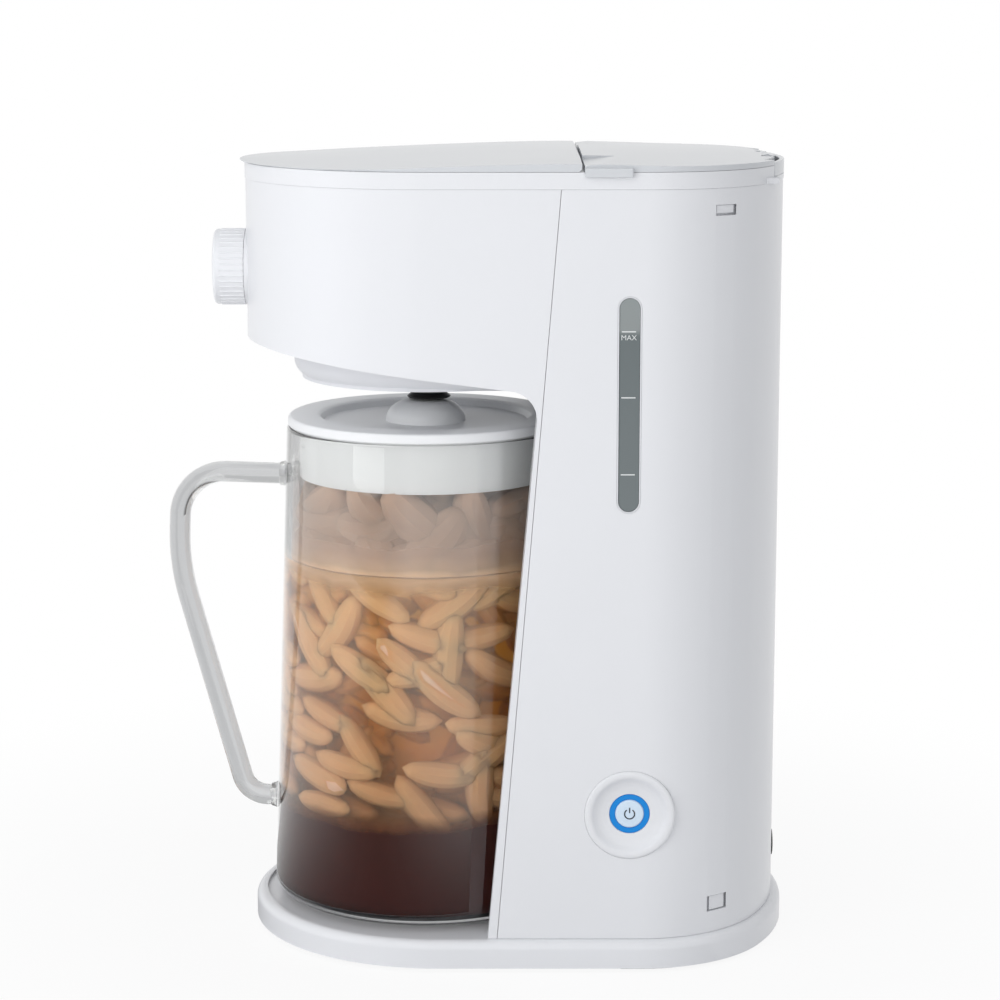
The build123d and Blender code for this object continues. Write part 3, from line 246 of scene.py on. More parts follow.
@dataclass(frozen=True)
class Finish:
    """A plain finish: a moulded, metal or rubber surface with its own grain.

    Attributes:
        name: The material's name.
        colour: Base colour, linear.
        roughness: Middle roughness.
        metallic: 0 for plastic, 1 for metal.
        coat: Weight of a clear top layer.
        mottle: How much the colour varies, 0 to 1.
        relief: Height of the fine relief, in metres.
        grain: How the relief is stretched.
        glow: Emission strength in the finish's own colour.
    """

    name: str
    colour: tuple[float, float, float]
    roughness: float = 0.35
    metallic: float = 0.0
    coat: float = 0.0
    mottle: float = 0.3
    relief: float = 0.02 * MM
    grain: Grain = Grain.MOULDED
    glow: float = 0.0

    def material(self) -> bpy.types.Material:
        """Give this finish's material, making it once."""
        if self.name in LOOKS:
            return LOOKS[self.name]
        made, shader = new_material(f"{self.name}_look", {
            "Metallic": self.metallic, "Coat Weight": self.coat, "Coat Roughness": 0.12,
            "Emission Strength": self.glow,
        })
        LOOKS[self.name] = made
        nodes = made.node_tree.nodes
        where = add(nodes, "TexCoord")
        stretch = add(nodes, "Mapping", {"Scale": self.grain.value})
        surface = add(nodes, "Group", {
            "Colour": (*self.colour, 1.0), "Roughness": self.roughness - 0.05, "Mottle": self.mottle,
        }, node_tree=shared_group("moulded_surface"))
        bump = add(nodes, "Bump", {"Distance": self.relief, "Strength": 0.6})
        wire(where, "Object", stretch, "Vector")
        wire(stretch, "Vector", surface, "Vector")
        wire(surface, "Colour", shader, "Base Color")
        wire(surface, "Roughness", shader, "Roughness")
        wire(surface, "Height", bump, "Height")
        wire(bump, "Normal", shader, "Normal")
        if self.glow:
            wire(surface, "Colour", shader, "Emission Color")
        return made


@dataclass(frozen=True)
class ClearFinish:
    """A clear finish that lets light through to what stands behind it.

    Attributes:
        name: The material's name.
        tint: Colour of the light that passes.
        roughness: How much the surface blurs.
        ior: Refractive index.
        coat: Weight of a second mirror layer on it.
        coat_ior: How strongly that layer mirrors.
    """

    name: str
    tint: tuple[float, float, float]
    roughness: float = 0.0
    ior: float = 1.46
    coat: float = 0.0
    coat_ior: float = 1.6

    def material(self) -> bpy.types.Material:
        """Give this finish's material, making it once."""
        if self.name in LOOKS:
            return LOOKS[self.name]
        made, shader = new_material(f"{self.name}_look", {
            "Base Color": (*self.tint, 1.0), "Roughness": self.roughness, "IOR": self.ior,
            "Transmission Weight": 1.0, "Coat Weight": self.coat, "Coat IOR": self.coat_ior,
        })
        LOOKS[self.name] = made
        nodes = made.node_tree.nodes
        where = add(nodes, "TexCoord")
        waves = add(nodes, "TexNoise", {"Scale": 9.0})
        bump = add(nodes, "Bump", {"Distance": 0.12 * MM})
        wire(where, "Object", waves, "Vector")
        wire(waves, "Fac", bump, "Height")
        wire(bump, "Normal", shader, "Normal")
        path = add(nodes, "LightPath")
        through = add(nodes, "BsdfTransparent", {"Color": (*self.tint, 1.0)})
        blend = add(nodes, "MixShader")
        wire(path, "Is Shadow Ray", blend, "Fac")
        wire(shader, "BSDF", blend, 1)
        wire(through, "BSDF", blend, 2)
        wire(blend, "Shader", nodes["Material Output"], "Surface")
        return made


WHITE = Finish("white_plastic", (0.80, 0.81, 0.835), roughness=0.32, coat=0.25, mottle=0.12)
# Painted shade: a darker copy of the white plastic, so the lids' top faces read darker than the sides.
SHADED_LID_WHITE = Finish("lid_plastic", (0.64, 0.66, 0.685), roughness=0.3, coat=0.3, mottle=0.12)
# Painted light: a lighter copy of the white plastic, for the skirt inside the glass and the pitcher's lid
# under the head.
LIT_SKIRT_WHITE = Finish("skirt_plastic_painted_light", (0.87, 0.88, 0.89), roughness=0.38, mottle=0.15)
CUP_GREY = Finish("cup_plastic", (0.76, 0.77, 0.80), roughness=0.42, mottle=0.2)
INNER_GREY = Finish("inner_plastic", (0.35, 0.36, 0.37), roughness=0.5)
BLACK = Finish("black_plastic", (0.012, 0.012, 0.013), roughness=0.35)
RUBBER = Finish("foot_rubber", (0.03, 0.03, 0.03), roughness=0.75, relief=0.06 * MM)
SILICONE = Finish("silicone", (0.55, 0.55, 0.53), roughness=0.5)
STEEL = Finish("steel", (0.55, 0.55, 0.56), roughness=0.28, metallic=1.0, grain=Grain.TURNED)
ALUMINIUM = Finish("aluminium", (0.7, 0.7, 0.72), roughness=0.4, metallic=1.0)
BOARD_GREEN = Finish("board", (0.02, 0.12, 0.05), roughness=0.45)
RING_BLUE = Finish("ring_blue", (0.0, 0.19, 0.56), roughness=0.6, mottle=0.0, glow=0.25)
SYMBOL = Finish("symbol_ink", (0.02, 0.03, 0.045), roughness=0.5)
BUTTON_WHITE = Finish("button_plastic", (0.68, 0.81, 0.94), roughness=0.35, coat=0.2, mottle=0.1)
MARK_WHITE = Finish("mark_ink", (0.75, 0.77, 0.77), roughness=0.5)
GLASS = ClearFinish("pitcher_glass", (0.975, 0.98, 0.97), ior=1.45, coat=1.0)
LENS = ClearFinish("lens_plastic", (0.9, 0.93, 0.93), roughness=0.05)


# Modelling helpers
def deselect() -> None:
    """Leave edit mode and deselect everything."""
    active = bpy.context.view_layer.objects.active
    if active and active.mode != "OBJECT":
        bpy.ops.object.mode_set(mode="OBJECT")
    bpy.ops.object.select_all(action="DESELECT")


def pick(piece: bpy.types.Object) -> None:
    """Select one piece and make it the active one."""
    deselect()
    piece.select_set(True)
    bpy.context.view_layer.objects.active = piece


def settle(piece: bpy.types.Object, smooth: float = 32.0) -> bpy.types.Object:
    """Put a piece's place into its mesh, join doubles and shade it smooth.

    Args:
        piece: The mesh object.
        smooth: Edges flatter than this many degrees are shaded smooth.

    Returns:
        The same piece.
    """
    pick(piece)
    bpy.ops.object.transform_apply(location=True, rotation=True, scale=True)
    bpy.ops.object.mode_set(mode="EDIT")
    bpy.ops.mesh.select_all(action="SELECT")
    bpy.ops.mesh.remove_doubles(threshold=1e-6)
    bpy.ops.mesh.normals_make_consistent(inside=False)
    bpy.ops.object.mode_set(mode="OBJECT")
    bpy.ops.object.shade_smooth_by_angle(angle=math.radians(smooth))
    return piece


def apply_modifier(piece: bpy.types.Object, kind: str, **values: object) -> None:
    """Add a modifier with the given values and apply it."""
    pick(piece)
    modifier = piece.modifiers.new(kind.lower(), kind)
    for key, value in values.items():
        setattr(modifier, key, value)
    bpy.ops.object.modifier_apply(modifier=modifier.name)


def rounded(points: Profile, radius: float, steps: int = 4) -> Profile:
    """Round the inner corners of an open profile.

    Args:
        points: The corners, as (radius, along) pairs.
        radius: Corner radius, kept under 0.45 of the shorter side.
        steps: Segments in each rounded corner.

    Returns:
        The profile with an arc in place of each inner corner.
    """
    made = [points[0]]
    for before, corner, after in zip(points, points[1:], points[2:]):
        here = Vector(corner)
        one, two = Vector(before) - here, Vector(after) - here
        reach = min(radius, 0.45 * one.length, 0.45 * two.length)
        start, end = here + one.normalized() * reach, here + two.normalized() * reach
        for step in range(steps + 1):
            share = step / steps
            first = start.lerp(here, share)
            made.append(tuple(first.lerp(here.lerp(end, share), share)))
    return [*made, points[-1]]


def turned(name: str, profile: Profile, centre: Point, axis: Axis = Axis.Z, steps: int = 96,
           arc: float = 2 * math.pi) -> bpy.types.Object:
    """Spin a profile about an axis, as on a lathe.

    Args:
        name: The piece's name.
        profile: (radius, distance along the axis) points.
        centre: A point on the axis, from which the distances count.
        axis: The axis of the turned piece.
        steps: Segments round the piece.
        arc: How far round it goes. Anything less than a full turn is closed at its ends.

    Returns:
        The new piece.
    """
    along = Vector(axis.value)
    out = Vector((0, 0, 1)) if axis is Axis.X else Vector((1, 0, 0))
    places = [Vector(centre) + out * radius + along * distance for radius, distance in profile]
    deselect()
    bpy.ops.mesh.primitive_plane_add(size=0.001)
    piece = bpy.context.object
    piece.name = name
    bpy.ops.object.mode_set(mode="EDIT")
    bpy.ops.mesh.select_mode(type="VERT")
    bpy.ops.mesh.select_all(action="SELECT")
    bpy.ops.mesh.merge(type="CENTER")
    bpy.ops.transform.translate(value=places[0])
    for before, after in zip(places, places[1:]):
        bpy.ops.mesh.extrude_region_move(TRANSFORM_OT_translate={"value": after - before})
    bpy.ops.mesh.select_all(action="SELECT")
    if arc < 2 * math.pi:
        bpy.ops.mesh.remove_doubles(threshold=1e-6)
    bpy.ops.mesh.spin(steps=steps, angle=arc, center=centre, axis=along)
    if arc < 2 * math.pi:
        bpy.ops.mesh.select_all(action="SELECT")
        bpy.ops.mesh.fill_holes(sides=8)
    return settle(piece)


def dressed_copy(node: str, bevel: float, finish: Finish | None = None, segments: int = 2,
                 flat: float = 0.4, smooth: float = 35.0) -> bpy.types.Object:
    """Copy a CAD node's form, join its faces and soften its sharp edges.

    Args:
        node: The node to copy and stand for.
        bevel: Width of the softened edges, in metres.
        finish: The finish it gets.
        segments: Segments across a softened edge.
        flat: Faces that meet at less than this many degrees become one.
        smooth: Edges flatter than this many degrees are shaded smooth.

    Returns:
        The new piece, riding on the node's body in its place.
    """
    source = frame["nodes"][node]
    deselect()
    piece = bpy.data.objects.new(f"{node}_shell", source.data.copy())
    bpy.context.scene.collection.objects.link(piece)
    pick(piece)
    bpy.ops.mesh.customdata_custom_splitnormals_clear()
    bpy.ops.object.mode_set(mode="EDIT")
    bpy.ops.mesh.select_all(action="SELECT")
    bpy.ops.mesh.remove_doubles(threshold=2e-6)
    bpy.ops.mesh.dissolve_limited(angle_limit=math.radians(flat))
    bpy.ops.object.mode_set(mode="OBJECT")
    apply_modifier(piece, "BEVEL", width=bevel, segments=segments, limit_method="ANGLE",
                   angle_limit=math.radians(28), use_clamp_overlap=True, miter_outer="MITER_ARC")
    bpy.ops.object.shade_smooth_by_angle(angle=math.radians(smooth))
    apply_modifier(piece, "WEIGHTED_NORMAL", keep_sharp=True, weight=80)
    return stand_for(piece, finish, node)


def stand_for(piece: bpy.types.Object, finish: Finish | ClearFinish | None, *nodes: str) -> bpy.types.Object:
    """Dress a piece and let it ride in place of CAD nodes.

    Args:
        piece: The new piece.
        finish: The finish it gets.
        nodes: The CAD nodes that it stands for.

    Returns:
        The same piece.
    """
    dress(piece, finish)
    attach(piece, frame["nodes"][nodes[0]]["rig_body"])
    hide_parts(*nodes)
    LOG.info("%s stands for %s", piece.name, ", ".join(nodes))
    return piece


def dress(piece: bpy.types.Object, finish: Finish | ClearFinish | None) -> None:
    """Give a piece one finish all over."""
    if finish:
        piece.data.materials.clear()
        piece.data.materials.append(finish.material())


def dress_nodes(finish: Finish | ClearFinish, *nodes: str) -> None:
    """Give CAD nodes that keep their shape a finish."""
    for node in nodes:
        dress(frame["nodes"][node], finish)
        LOG.info("%s gets %s", node, finish.name)


# Sub-assemblies
@dataclass
class Shells:
    """The outer shells: head and column, collar, lids, base and what shows of their fixings.

    Attributes:
        soft_edge: Width of the softened edges of the big shells.
        fine_edge: Width of the softened edges of the thinner pieces.
    """

    soft_edge: float = 0.6 * MM
    fine_edge: float = 0.35 * MM

    def build(self) -> None:
        """Soften and dress every outer shell."""
        for node in ("front_shell", "rear_casing", "base_housing"):
            dressed_copy(node, self.soft_edge, WHITE)
        dressed_copy("top_collar", self.fine_edge, WHITE)
        # The lids take the darker copy of the white plastic: painted shade on their top faces.
        for node in ("brew_lid", "tank_lid", "rear_hinge_cover"):
            dressed_copy(node, self.fine_edge, SHADED_LID_WHITE, flat=0.02, smooth=6.0)
        dressed_copy("bottom_plate", self.fine_edge, INNER_GREY)
        dressed_copy("rubber_feet", self.fine_edge, RUBBER)
        dressed_copy("cord_gland", self.fine_edge, RUBBER)


@dataclass
class Pitcher:
    """The clear pitcher: jug, rod handle, lid and skirt.

    Attributes:
        wall: Thickness of the jug's wall.
        floor: Thickness of its floor.
        corner: Outer radius of its lower corner.
    """

    wall: float = JUG_WALL
    floor: float = 4.0 * MM
    corner: float = 12 * MM

    def build(self) -> None:
        """Build every piece of the pitcher."""
        self.jug()
        self.handle()
        self.lid()
        # The skirt takes the lighter copy of the white plastic: painted light inside the glass.
        dressed_copy("lid_skirt", 0.3 * MM, LIT_SKIRT_WHITE)

    def jug(self) -> None:
        """Turn the jug's tapered wall, rounded foot and rolled rim."""
        low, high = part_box("pitcher_jug")
        foot, rim = (high.x - low.x) / 2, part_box("pitcher_lid")[1].x + 0.6 * MM
        floor_z, rim_z = low.z, high.z
        outer = [(0, floor_z + 1.2 * MM), (foot * 0.5, floor_z + 1.2 * MM), (foot * 0.74, floor_z),
                 (foot, floor_z), (rim, rim_z)]
        base = floor_z + self.floor
        inner = [(rim - self.wall, rim_z), (foot - self.wall, base), (0, base)]
        profile = rounded([*outer, *inner], self.corner, steps=8)
        piece = turned("pitcher_glass", profile, (0, JUG_Y, 0), steps=160)
        stand_for(piece, GLASS, "pitcher_jug")

    def handle(self) -> None:
        """Smooth the rod handle and the feet that hold it."""
        dressed_copy("pitcher_handle", 0.1 * MM, GLASS)
        dressed_copy("handle_fittings", 0.2 * MM, GLASS)

    def lid(self) -> None:
        """Soften the edges of the lid, with its recessed ring and its dome."""
        # The lid takes the lighter copy of the white plastic: painted light in its recess and on its dome
        # under the head.
        dressed_copy("pitcher_lid", 0.4 * MM, LIT_SKIRT_WHITE)


@dataclass(frozen=True)
class Tone:
    """One stop of a colour ramp: a height or a share, and a linear colour."""

    at: float
    colour: tuple[float, float, float]


def grey(at: float, level: float) -> Tone:
    """Give a ramp stop of an even grey."""
    return Tone(at, (level, level, level))


def ramp(nodes: bpy.types.Nodes, stops: list[Tone]) -> bpy.types.Node:
    """Add a colour ramp with the given stops.

    Args:
        nodes: The material's nodes.
        stops: Stops in rising order, from 0 to 1.

    Returns:
        The ramp node.
    """
    node = add(nodes, "ValToRGB")
    band = node.color_ramp
    while len(band.elements) < len(stops):
        band.elements.new(0.5)
    for element, stop in zip(band.elements, stops):
        element.position = stop.at
        element.color = (*stop.colour, 1.0)
    return node


@dataclass
class Drink:
    """The iced coffee: dark layer, amber layer, melt line and the ice.

    Attributes:
        gap: Gap between the drink and the jug's inner wall, below 0 where it sinks into the glass.
        core: Radius of the coffee's middle, which the ice stands in front of.
        film_top: How high the melted film above the coffee reaches up the glass.
        half_length: Half the length of one crescent of ice.
        half_width: Half its width.
        bluntness: Power of its outline: 1 gives pointed ends, and less gives blunter ones.
        bends: How far it bends along the wall and on edge, in degrees.
        rows: Rows of ice in the coffee.
        low_row: Height of the lowest row.
        high_row: Height of the highest one.
        layers: How far in from the wall each layer of a row lies, and its number of crescents.
        top_rings: Radius, number of crescents and height of each ring of ice above the coffee.
        leans: Middle and spread of how far the crescents lean, in radians.
        sizes: Smallest and largest size of a crescent, as shares of the pattern.
        seed: Seed of the ice's places.
    """

    gap: float = -0.4 * MM
    core: float = 43 * MM
    film_top: float = 203 * MM
    half_length: float = 18.5 * MM
    half_width: float = 6.3 * MM
    bluntness: float = 0.55
    bends: tuple[float, float] = (24.0, 30.0)
    rows: int = 11
    low_row: float = 64 * MM
    high_row: float = 160 * MM
    layers: tuple[tuple[float, int], ...] = ((0.0, 10), (7.0 * MM, 9), (12.0 * MM, 8))
    top_rings: tuple[tuple[float, int, float], ...] = (
        (49 * MM, 15, 171 * MM), (49 * MM, 14, 181 * MM), (48 * MM, 13, 190 * MM),
        (34 * MM, 11, 191 * MM), (20 * MM, 7, 193 * MM), (6 * MM, 3, 194 * MM),
    )
    leans: tuple[float, float] = (-0.25, 0.55)
    sizes: tuple[float, float] = (0.82, 1.08)
    seed: int = 11

    def build(self) -> None:
        """Build the coffee and the ice."""
        self.coffee()
        self.ice()

    def inner(self, height: float) -> float:
        """Give the jug's inner radius at a height."""
        return JUG_FOOT_INNER - JUG_TAPER * height

    def coffee(self) -> None:
        """Turn the coffee's skin behind the glass, its middle and the melted film, as one piece."""
        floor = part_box("coffee")[0].z + 0.2 * MM
        wall_low, wall_high = self.inner(floor) - self.gap, self.inner(DRINK_TOP) - self.gap
        surface = DRINK_TOP - 1.2 * MM
        edge = [(wall_low, floor), (wall_high, DRINK_TOP), (wall_high - 3 * MM, surface)]
        outline = rounded([(0, floor), *edge, (0, surface)], 7 * MM, steps=6)
        skin = turned("coffee_layers", outline, (0, JUG_Y, 0), steps=120)
        low, high = floor + 3 * MM, DRINK_TOP - 4 * MM
        outline = [(0, low), (self.core, low), (self.core, high), (0, high)]
        middle = turned("coffee_middle", outline, (0, JUG_Y, 0), steps=64)
        levels = (DRINK_TOP, DRINK_TOP + 14 * MM, self.film_top)
        outline = [(self.inner(level) - 0.3 * MM, level) for level in levels]
        film = turned("melt_film", outline, (0, JUG_Y, 0), steps=120)
        middle.data.materials.append(self.middle_material())
        skin.data.materials.append(self.skin_material())
        film.data.materials.append(self.film_material())
        pick(skin)
        middle.select_set(True)
        film.select_set(True)
        bpy.ops.object.join()
        stand_for(skin, None, "coffee")

    def height_share(self, nodes: bpy.types.Nodes, scale: float, low: float, high: float,
                     waver: float) -> tuple[bpy.types.Node, bpy.types.Node]:
        """Turn a height into a share between two levels, made uneven by a noise.

        Args:
            nodes: The material's nodes.
            scale: Scale of the noise.
            low: The height that gives 0.
            high: The height that gives 1.
            waver: How far the noise shifts the height, in metres.

        Returns:
            The node whose Result is the share, and the drink's depth group node.
        """
        where = add(nodes, "TexCoord")
        depth = add(nodes, "Group", node_tree=shared_group("drink_depth"))
        noise = add(nodes, "TexNoise", {"Scale": scale, "Detail": 3.0})
        shift = add(nodes, "Math", {1: waver}, operation="MULTIPLY_ADD")
        span = add(nodes, "MapRange", {"From Min": low + waver / 2, "From Max": high + waver / 2})
        wire(where, "Object", depth, "Vector")
        wire(where, "Object", noise, "Vector")
        wire(noise, "Fac", shift, 0)
        wire(depth, "Level", shift, 2)
        wire(shift, "Value", span, "Value")
        return span, depth

    def veiled(self, name: str, roughness: float, levels: tuple[float, float, float, float],
               colour: list[Tone], veil: list[Tone]) -> tuple[bpy.types.Material, bpy.types.Node]:
        """Start a material that hides more or less of what is behind it, by height.

        Args:
            name: The material's name.
            roughness: Roughness of its own surface.
            levels: Scale of the noise, low height, high height and waver, as height_share takes them.
            colour: Its own colour, by the share between those heights.
            veil: How much it hides, by the same share.

        Returns:
            The material, and the mix node whose first shader is what shows through.
        """
        made, shader = new_material(name, {"Roughness": roughness, "Specular IOR Level": 0.0})
        nodes = made.node_tree.nodes
        share, _ = self.height_share(nodes, *levels)
        tint, cover, blend = ramp(nodes, colour), ramp(nodes, veil), add(nodes, "MixShader")
        wire(share, "Result", tint, "Fac")
        wire(share, "Result", cover, "Fac")
        wire(tint, "Color", shader, "Base Color")
        wire(cover, "Color", blend, "Fac")
        wire(shader, "BSDF", blend, 2)
        wire(blend, "Shader", nodes["Material Output"], "Surface")
        return made, blend

    def skin_material(self) -> bpy.types.Material:
        """Make the coffee's outer skin: clear enough above for the ice to show, opaque and dark below."""
        made, blend = self.veiled(
            "coffee_skin", 0.5, (30.0, 0.0, RAMP_TOP, 12 * MM),
            [Tone(0.10, (0.050, 0.009, 0.007)), Tone(0.31, (0.055, 0.014, 0.010)),
             Tone(0.36, (0.34, 0.13, 0.04)), Tone(0.50, (0.56, 0.23, 0.04)), Tone(0.84, (0.66, 0.32, 0.07)),
             Tone(0.91, (0.76, 0.50, 0.30))],
            [grey(0.31, 0.96), grey(0.355, 0.10), grey(0.80, 0.06), grey(0.87, 0.12), grey(0.91, 0.8)],
        )
        nodes = made.node_tree.nodes
        clear = add(nodes, "BsdfPrincipled", {
            "Base Color": (1.0, 0.80, 0.50, 1.0), "Roughness": 0.24, "IOR": 1.33,
            "Transmission Weight": 1.0, "Specular Tint": (0.2, 0.2, 0.2, 1.0),
        })
        path = add(nodes, "LightPath")
        through = add(nodes, "BsdfTransparent")
        body = add(nodes, "MixShader")
        wire(path, "Is Shadow Ray", body, "Fac")
        wire(clear, "BSDF", body, 1)
        wire(through, "BSDF", body, 2)
        wire(body, "Shader", blend, 1)
        return made

    def film_material(self) -> bpy.types.Material:
        """Make the thin film of melted ice on the glass above the coffee, thickest at the melt line."""
        made, blend = self.veiled(
            "melt_film", 0.7, (35.0, DRINK_TOP, self.film_top, 8 * MM),
            [Tone(0.0, (0.82, 0.54, 0.32)), Tone(0.25, (0.52, 0.34, 0.24)), Tone(1.0, (0.48, 0.37, 0.31))],
            [grey(0.0, 0.80), grey(0.07, 0.50), grey(0.6, 0.45), grey(1.0, 0.0)],
        )
        through = add(made.node_tree.nodes, "BsdfTransparent")
        wire(through, "BSDF", blend, 1)
        return made

    def middle_material(self) -> bpy.types.Material:
        """Make the coffee's middle: amber clouds above, near black below, with a faint glow in its own colour
        as painted light.
        """
        # Painted light: the middle glows faintly in its own colour, standing for the light that comes through
        # the ice and the drink.
        made, shader = new_material("coffee_middle", {"Roughness": 0.6, "Emission Strength": 0.13})
        nodes = made.node_tree.nodes
        share, _ = self.height_share(nodes, 45.0, 0.0, RAMP_TOP, 60 * MM)
        colour = ramp(nodes, [
            Tone(0.30, (0.10, 0.022, 0.008)), Tone(0.45, (0.50, 0.17, 0.02)), Tone(0.65, (0.78, 0.34, 0.03)),
            Tone(0.90, (0.95, 0.50, 0.06)),
        ])
        wire(share, "Result", colour, "Fac")
        wire(colour, "Color", shader, "Base Color")
        # The glow takes the ramp's colour: painted light.
        wire(colour, "Color", shader, "Emission Color")
        return made

    def ice_material(self) -> bpy.types.Material:
        """Make the ice: pale beige at the glass, browner with depth, greyer above the coffee."""
        made, shader = new_material("ice_crescents", {
            "Roughness": 0.5, "Specular IOR Level": 0.05, "Subsurface Weight": 0.7,
            "Subsurface Radius": (1.0, 1.0, 1.0), "Subsurface Scale": 4 * MM,
        })
        nodes = made.node_tree.nodes
        share, depth = self.height_share(nodes, 90.0, DARK_TOP, RAMP_TOP - 5 * MM, 6 * MM)
        pale = ramp(nodes, [
            Tone(0.0, (0.84, 0.55, 0.39)), Tone(0.5, (0.88, 0.59, 0.42)), Tone(0.86, (0.92, 0.63, 0.43)),
            Tone(0.95, (0.56, 0.38, 0.28)),
        ])
        deep = ramp(nodes, [
            Tone(0.0, (0.26, 0.07, 0.01)), Tone(0.45, (0.46, 0.15, 0.01)), Tone(0.86, (0.60, 0.24, 0.015)),
            Tone(0.95, (0.50, 0.33, 0.24)),
        ])
        shade = add(nodes, "Mix", data_type="RGBA")
        wire(share, "Result", pale, "Fac")
        wire(share, "Result", deep, "Fac")
        wire(depth, "Depth", shade, "Factor")
        wire(pale, "Color", shade, "A")
        wire(deep, "Color", shade, "B")
        wire(shade, "Result", shader, "Base Color")
        return made

    def crescent(self) -> bpy.types.Object:
        """Shape one crescent of ice: a spindle along X, bent to follow the wall and bowed on edge."""
        steps = 10
        shares = [2 * step / steps - 1 for step in range(steps + 1)]
        profile = [
            (self.half_width * (1 - share**2) ** self.bluntness, self.half_length * share) for share in shares
        ]
        piece = turned("ice_crescent", profile, (0, 0, 0), Axis.X, steps=steps)
        for turn, bend in zip((0.0, math.pi / 2), self.bends):
            piece.rotation_euler = (turn, 0, 0)
            pick(piece)
            bpy.ops.object.transform_apply(rotation=True)
            apply_modifier(piece, "SIMPLE_DEFORM", deform_method="BEND", deform_axis="Z",
                           angle=math.radians(bend))
        return settle(piece, smooth=80)

    def ice(self) -> None:
        """Strew crescents behind the wall and over the coffee, and join them into one piece."""
        rng = random.Random(self.seed)
        pattern = self.crescent()
        placed: list[bpy.types.Object] = []
        for row in range(self.rows):
            middle = self.low_row + (self.high_row - self.low_row) * row / (self.rows - 1)
            for inset, count in self.layers:
                for spot in range(count):
                    turn = 2 * math.pi * (spot + 0.5 * (row % 2) + rng.uniform(-0.35, 0.35)) / count
                    height = middle + rng.uniform(-4, 4) * MM
                    placed.append(self.place(pattern, rng, turn, height, inset + rng.uniform(0, 4) * MM))
        for ring, count, low in self.top_rings:
            for spot in range(count):
                turn = 2 * math.pi * (spot + rng.uniform(-0.3, 0.3)) / count
                height = low + rng.uniform(-2, 3) * MM
                placed.append(self.place(pattern, rng, turn, height, self.inner(height) - ring - 5 * MM, 1.5))
        bpy.data.objects.remove(pattern)
        pick(placed[0])
        for piece in placed:
            piece.select_set(True)
        bpy.ops.object.join()
        joined = bpy.context.object
        joined.name = "ice_crescents"
        bpy.ops.object.transform_apply(location=True, rotation=True, scale=True)
        joined.data.materials.append(self.ice_material())
        stand_for(joined, None, "ice_cubes")

    def place(self, pattern: bpy.types.Object, rng: random.Random, turn: float, height: float,
              inset: float, plump: float = 1.0) -> bpy.types.Object:
        """Lay one crescent against the wall, turned at random.

        Args:
            pattern: The crescent to copy.
            rng: The seeded source of its turns.
            turn: Its angle round the jug.
            height: Height of its middle.
            inset: How far it lies in from the wall layer.
            plump: How many times thicker it is than the pattern.

        Returns:
            The placed copy.
        """
        lean = rng.gauss(*self.leans)
        reach = 0.6 * self.half_length * abs(math.cos(lean))
        radius = math.sqrt((self.inner(height) - 0.8 * MM) ** 2 - reach**2) - 4.2 * MM - inset
        piece = pattern.copy()
        piece.data = pattern.data.copy()
        bpy.context.scene.collection.objects.link(piece)
        size = rng.uniform(*self.sizes)
        upright = Matrix.Rotation(turn, 4, "Z")
        tilt = Matrix.Rotation(rng.uniform(-0.12, 0.12), 4, "Z") @ Matrix.Rotation(lean, 4, "X")
        along = Matrix.Rotation(-math.pi / 2, 4, "Z")
        roll = Matrix.Rotation(rng.uniform(-0.5, 0.5), 4, "X")
        piece.matrix_world = (
            Matrix.Translation((0, JUG_Y, height)) @ upright @ Matrix.Translation((radius, 0, 0))
            @ tilt @ along @ roll @ Matrix.Diagonal((size, size * plump, size * plump, 1.0))
        )
        return piece


